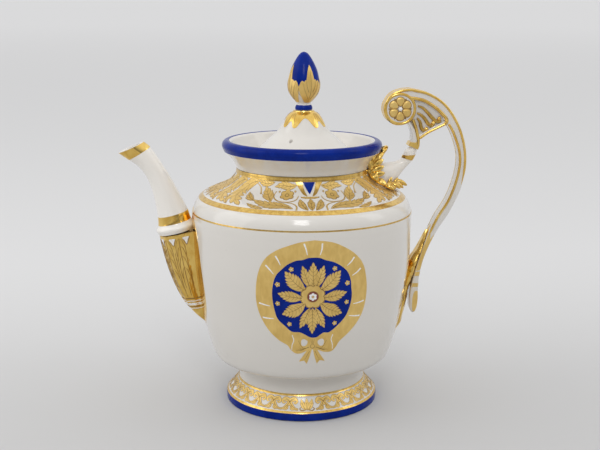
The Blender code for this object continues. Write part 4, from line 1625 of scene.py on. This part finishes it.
def makeRosette(name, side, node):
    shape = gildingShape
    centre = np.array(handleShape["scrollCentre"])
    heap = Heap()
    skin = Side(side, strapHalf)
    angle = np.linspace(0, 2 * math.pi, 20, endpoint=False)
    for k in range(shape["petals"]):
        turned = math.radians(30 + 60 * k)
        ahead = np.array((math.cos(turned), math.sin(turned)))
        across = np.array((-ahead[1], ahead[0]))
        for grow, tag, base, rise in ((1.13, 1, 0.20, 0.15), (1.0, 0, 0.32, 0.62)):
            # the petal is broad and round at its end and narrow at the heart
            wide = 2.35 * (1 + 0.34 * np.cos(angle))
            petal = (centre + np.outer(4.45 + 2.75 * grow * np.cos(angle), ahead)
                     + np.outer(wide * grow * np.sin(angle), across))
            pillow(heap, skin, petal, base, rise, tag)
        turned = math.radians(60 * k)
        ahead = np.array((math.cos(turned), math.sin(turned)))
        across = np.array((-ahead[1], ahead[0]))
        sepal = np.array([centre + ahead * a + across * b for a, b in shape["sepal"]])
        pillow(heap, skin, sepal, 0.20, 0.35, 1)
    ball(heap, (centre[0], side * (strapHalf + 0.95), centre[1]), shape["heart"], 2)
    heap.make(name, ["flatGold", "goldShade", "white"], "pot", "gilding", replaced=[node])


makeHandleGilding()
makeArmRings()
makeRosette("rosetteFront", -1, "rosette_front")
makeRosette("rosetteBack", 1, "rosette_back")
print("handle gilded")


# Modelled leaves where the handle meets the pot

calyxShape = {
    # a thin leaf behind the lobes: spine, the way it faces, half width, thickness, lobes
    "backing": [([(44.4, 11.0, 143.4), (42.2, 9.6, 147.6), (43.0, 8.2, 152.2), (45.6, 6.0, 156.2),
                  (49.4, 3.0, 159.0), (53.2, 0.4, 160.8)],
                 [(-0.2, 1.0, 0.2), (0.1, 1.0, 0.1), (0.3, 1.0, 0.2), (0.2, 0.9, 0.5),
                  (0.0, 0.6, 0.9), (0.2, 0.3, 1.0)], 3.0, 1.0, 5)],
    # lobes: start, end, half width, the way it faces
    "rim": [((47.6, 4.6, 156.0), (53.6, 0.9, 161.1), 1.6, (-0.2, 0.7, 0.7)),
            ((45.0, 6.8, 153.2), (50.4, 4.0, 158.0), 1.6, (-0.1, 0.9, 0.4)),
            ((43.4, 8.4, 150.2), (49.8, 6.2, 154.2), 1.7, (0.0, 1.0, 0.2)),
            ((42.4, 9.8, 147.4), (50.0, 7.6, 150.2), 1.7, (0.0, 1.0, 0.1))],
    "shoulder": [((43.2, 11.0, 145.2), (50.4, 9.2, 146.2), 1.7, (0.1, 1.0, 0.2)),
                 ((41.8, 10.8, 146.4), (45.6, 13.4, 141.6), 2.3, (-0.1, 0.8, 0.7)),
                 ((44.8, 12.0, 142.4), (50.8, 14.2, 139.0), 2.1, (0.1, 0.8, 0.8)),
                 ((50.0, 13.0, 139.4), (55.6, 15.0, 136.2), 2.0, (0.3, 0.5, 0.9)),
                 ((52.0, 9.6, 139.6), (57.2, 11.2, 136.2), 1.7, (0.4, 0.6, 0.8)),
                 ((55.0, 7.0, 139.6), (60.4, 8.2, 135.6), 1.7, (0.6, 0.5, 0.8)),
                 ((57.0, 3.8, 139.8), (62.8, 4.6, 135.2), 1.7, (0.8, 0.3, 0.8)),
                 ((52.8, 8.4, 139.0), (55.2, 6.6, 143.0), 1.1, (0.2, 1.0, 0.1)),
                 ((57.0, 5.4, 138.6), (59.4, 3.4, 142.2), 1.1, (0.6, 0.8, 0.1))],
    "outer": [((58.0, 0, 140.0), (65.8, 0, 135.6), 2.2, (0.8, 0, 0.8))],
}


def lobes(heap, rows, side, curl=0.8):
    flip = (1, side, 1)
    for start, end, half, up in rows:
        lobe(heap, np.multiply(start, flip), np.multiply(end, flip), half, np.multiply(up, flip),
             curl)


def makeCalyx():
    shape = calyxShape
    for name, side, node in (("shoulderLeavesFront", -1, "shoulder_leaf_front"),
                             ("shoulderLeavesBack", 1, "shoulder_leaf_back")):
        heap = Heap()
        lobes(heap, shape["shoulder"], side)
        heap.make(name, ["reliefGold"], "pot", "gilding", replaced=[node], sharp=60)
    heap = Heap()
    for side in (-1, 1):
        flip = (1, side, 1)
        for spine, ups, half, thick, count in shape["backing"]:
            acanthus(heap, np.array(spine) * flip, np.array(ups, float) * flip, half, thick, count)
        lobes(heap, shape["rim"], side)
    heap.make("rimLeaf", ["reliefGold"], "pot", "gilding", replaced=["rim_leaf"], sharp=60)
    heap = Heap()
    lobes(heap, shape["outer"], 1, 1.2)
    heap.make("shoulderLeafOuter", ["reliefGold"], "pot", "gilding",
              replaced=["shoulder_leaf_outer"], sharp=60)


makeCalyx()
print("leaves modelled")


# The handle's foot: a gilt leaf down the body, bands and an oval panel on the strap, gilt margins

footLeafShape = {
    # left x, z, right x, z, half width
    "stations": [(79.0, 108.4, 80.6, 107.8, 0.9), (76.3, 102.6, 78.4, 102.0, 4.2),
                 (73.4, 96.6, 76.4, 95.8, 6.4), (69.6, 90.6, 74.2, 89.6, 7.8),
                 (66.0, 84.4, 72.8, 83.6, 8.3), (64.0, 78.6, 71.2, 78.0, 7.6),
                 (62.5, 73.4, 69.6, 73.4, 6.4), (61.5, 68.0, 68.2, 68.0, 5.6),
                 (60.5, 62.0, 67.4, 62.0, 5.9), (59.5, 54.6, 65.6, 54.6, 5.1),
                 (58.5, 47.4, 63.9, 47.4, 3.3), (58.0, 42.6, 61.0, 42.6, 0.9)],
    "lobes": 9,
    "margin": [(0, 90.0), (9, 89.6), (16, 87.4), (19, 84.4), (21.5, 80.4), (20, 76.4), (21.6, 72.4),
               (19.6, 68.6), (23.6, 64.6), (21.6, 60.4), (22.6, 56.2), (18.6, 53.2), (19.6, 49.4),
               (13.6, 46.8), (11.0, 42.8), (5.4, 45.6), (0, 45.0)],
    "socketMargin": [(3.2, 125.2), (6.4, 122.2), (12.0, 118.6), (16.0, 112.6), (19.2, 103.0),
                     (20.7, 93.2), (21.4, 83.9), (21.2, 74.2), (18.9, 63.8), (12.7, 55.2),
                     (5.0, 50.4), (0, 49.4)],
    # heights on the strap: the point's two edges, its tip, and the two bands
    "pointRight": (106.0, 100.0, 94.0, 88.0, 82.6),
    "pointLeft": (82.2, 88.0, 94.0, 99.0, 104.0, 109.0),
    "pointTip": (2.6, 102.4, 102.5),
    "bands": ((78.9, 81.6), (71.7, 74.1)),
    "panel": [(74.0, 69.0), (74.1, 64.0), (73.6, 59.0), (72.4, 55.9), (71.0, 55.8), (70.6, 60.4),
              (70.9, 65.0), (72.0, 68.6)],
}


def strapEdge(height, line):
    order = np.argsort(line[:, 1])
    return float(np.interp(height, line[order, 1], line[order, 0]))


def makeFootLeaf():
    shape = footLeafShape
    line = flow(shape["stations"], 10)
    rings = []
    angle = np.radians(np.linspace(0, 360, 48, endpoint=False))
    for i, ring in enumerate(ovals(line, 48)):
        t = i / (len(line) - 1)
        saw = (t * shape["lobes"]) % 1
        half = line[i][4]
        out = ring - ring.mean(0)
        flutes = 0.20 * np.cos(5 * angle) + 0.10 * np.cos(2 * math.pi * (t * shape["lobes"])
                                                          - 4 * np.abs(np.sin(angle)))
        flutes = (flutes * min(1, half / 3))[:, None]
        ring = ring + out / (np.linalg.norm(out, axis=1)[:, None] + 1e-9) * flutes
        ring[:, 1] *= 1 - 0.16 * (1 - saw) ** 1.5
        rings.append(ring)
    heap = Heap()
    heap.add(*skinned(rings))
    heap.make("handleFootLeaf", ["reliefGold"], "pot", "gilding", replaced=["handle_foot_leaf"],
              sharp=60)


def makeStrapGilding():
    shape = footLeafShape
    heap = Heap()
    for side in (-1, 1):
        skin = Side(side, strapHalf)
        right = [(strapEdge(z, spineLine) - 0.3, z) for z in shape["pointRight"]]
        left = [(strapEdge(z, innerLine) + 0.3, z) for z in shape["pointLeft"]]
        inset, height, edgeHeight = shape["pointTip"]
        tip = (strapEdge(edgeHeight, innerLine) + inset, height)
        lay(heap, skin, right + left + [tip], -sunk, 0.12)
        for low, high in shape["bands"]:
            rows = np.linspace(low, high, 7)
            left = [(strapEdge(z, innerLine) + 0.35, z) for z in rows]
            right = [(strapEdge(z, spineLine) - 0.35, z) for z in np.linspace(high, low, 7)]
            lay(heap, skin, left + right, -sunk, 0.12)
        lay(heap, skin, rounded(shape["panel"], 4), -sunk, 0.14)
    back = spineLine[(spineLine[:, 1] < 107) & (spineLine[:, 1] > 82)]
    ribbon(heap, back, strapHalf - 0.5, 0.08)
    inside = innerLine[(innerLine[:, 1] > 82.2) & (innerLine[:, 1] < 112)]
    wide = np.interp(inside[:, 1], (82, 102, 112), (strapHalf - 0.3, strapHalf - 0.3, 0.5))
    ribbon(heap, inside, wide, 0.10)
    for low, high in shape["bands"]:
        rows = np.linspace(high, low, 5)
        ribbon(heap, [(strapEdge(z, spineLine), z) for z in rows], strapHalf - 0.4, 0.09)
        ribbon(heap, [(strapEdge(z, innerLine), z) for z in rows[::-1]], strapHalf - 0.3, 0.09)
    heap.make("handleFootGilding", ["flatGold"], "pot", "gilding")


def makeBodyMargins():
    heap = Heap()
    for key, turned in (("margin", 90.0), ("socketMargin", -90.0)):
        soft = flow(footLeafShape[key], 3)
        outline = np.vstack([soft, (soft * (-1, 1))[::-1][1:-1]])
        outline[:, 1] = [bodySkin.down(z) for z in outline[:, 1]]
        lay(heap, bodySkin, outline + (turned, 0), -sunk, 0.12, 0, (2.5, 4.0))
    heap.make("bodyGiltMargins", ["reliefGold"], "pot", "gilding")


makeFootLeaf()
makeStrapGilding()
makeBodyMargins()
print("handle's foot gilded")
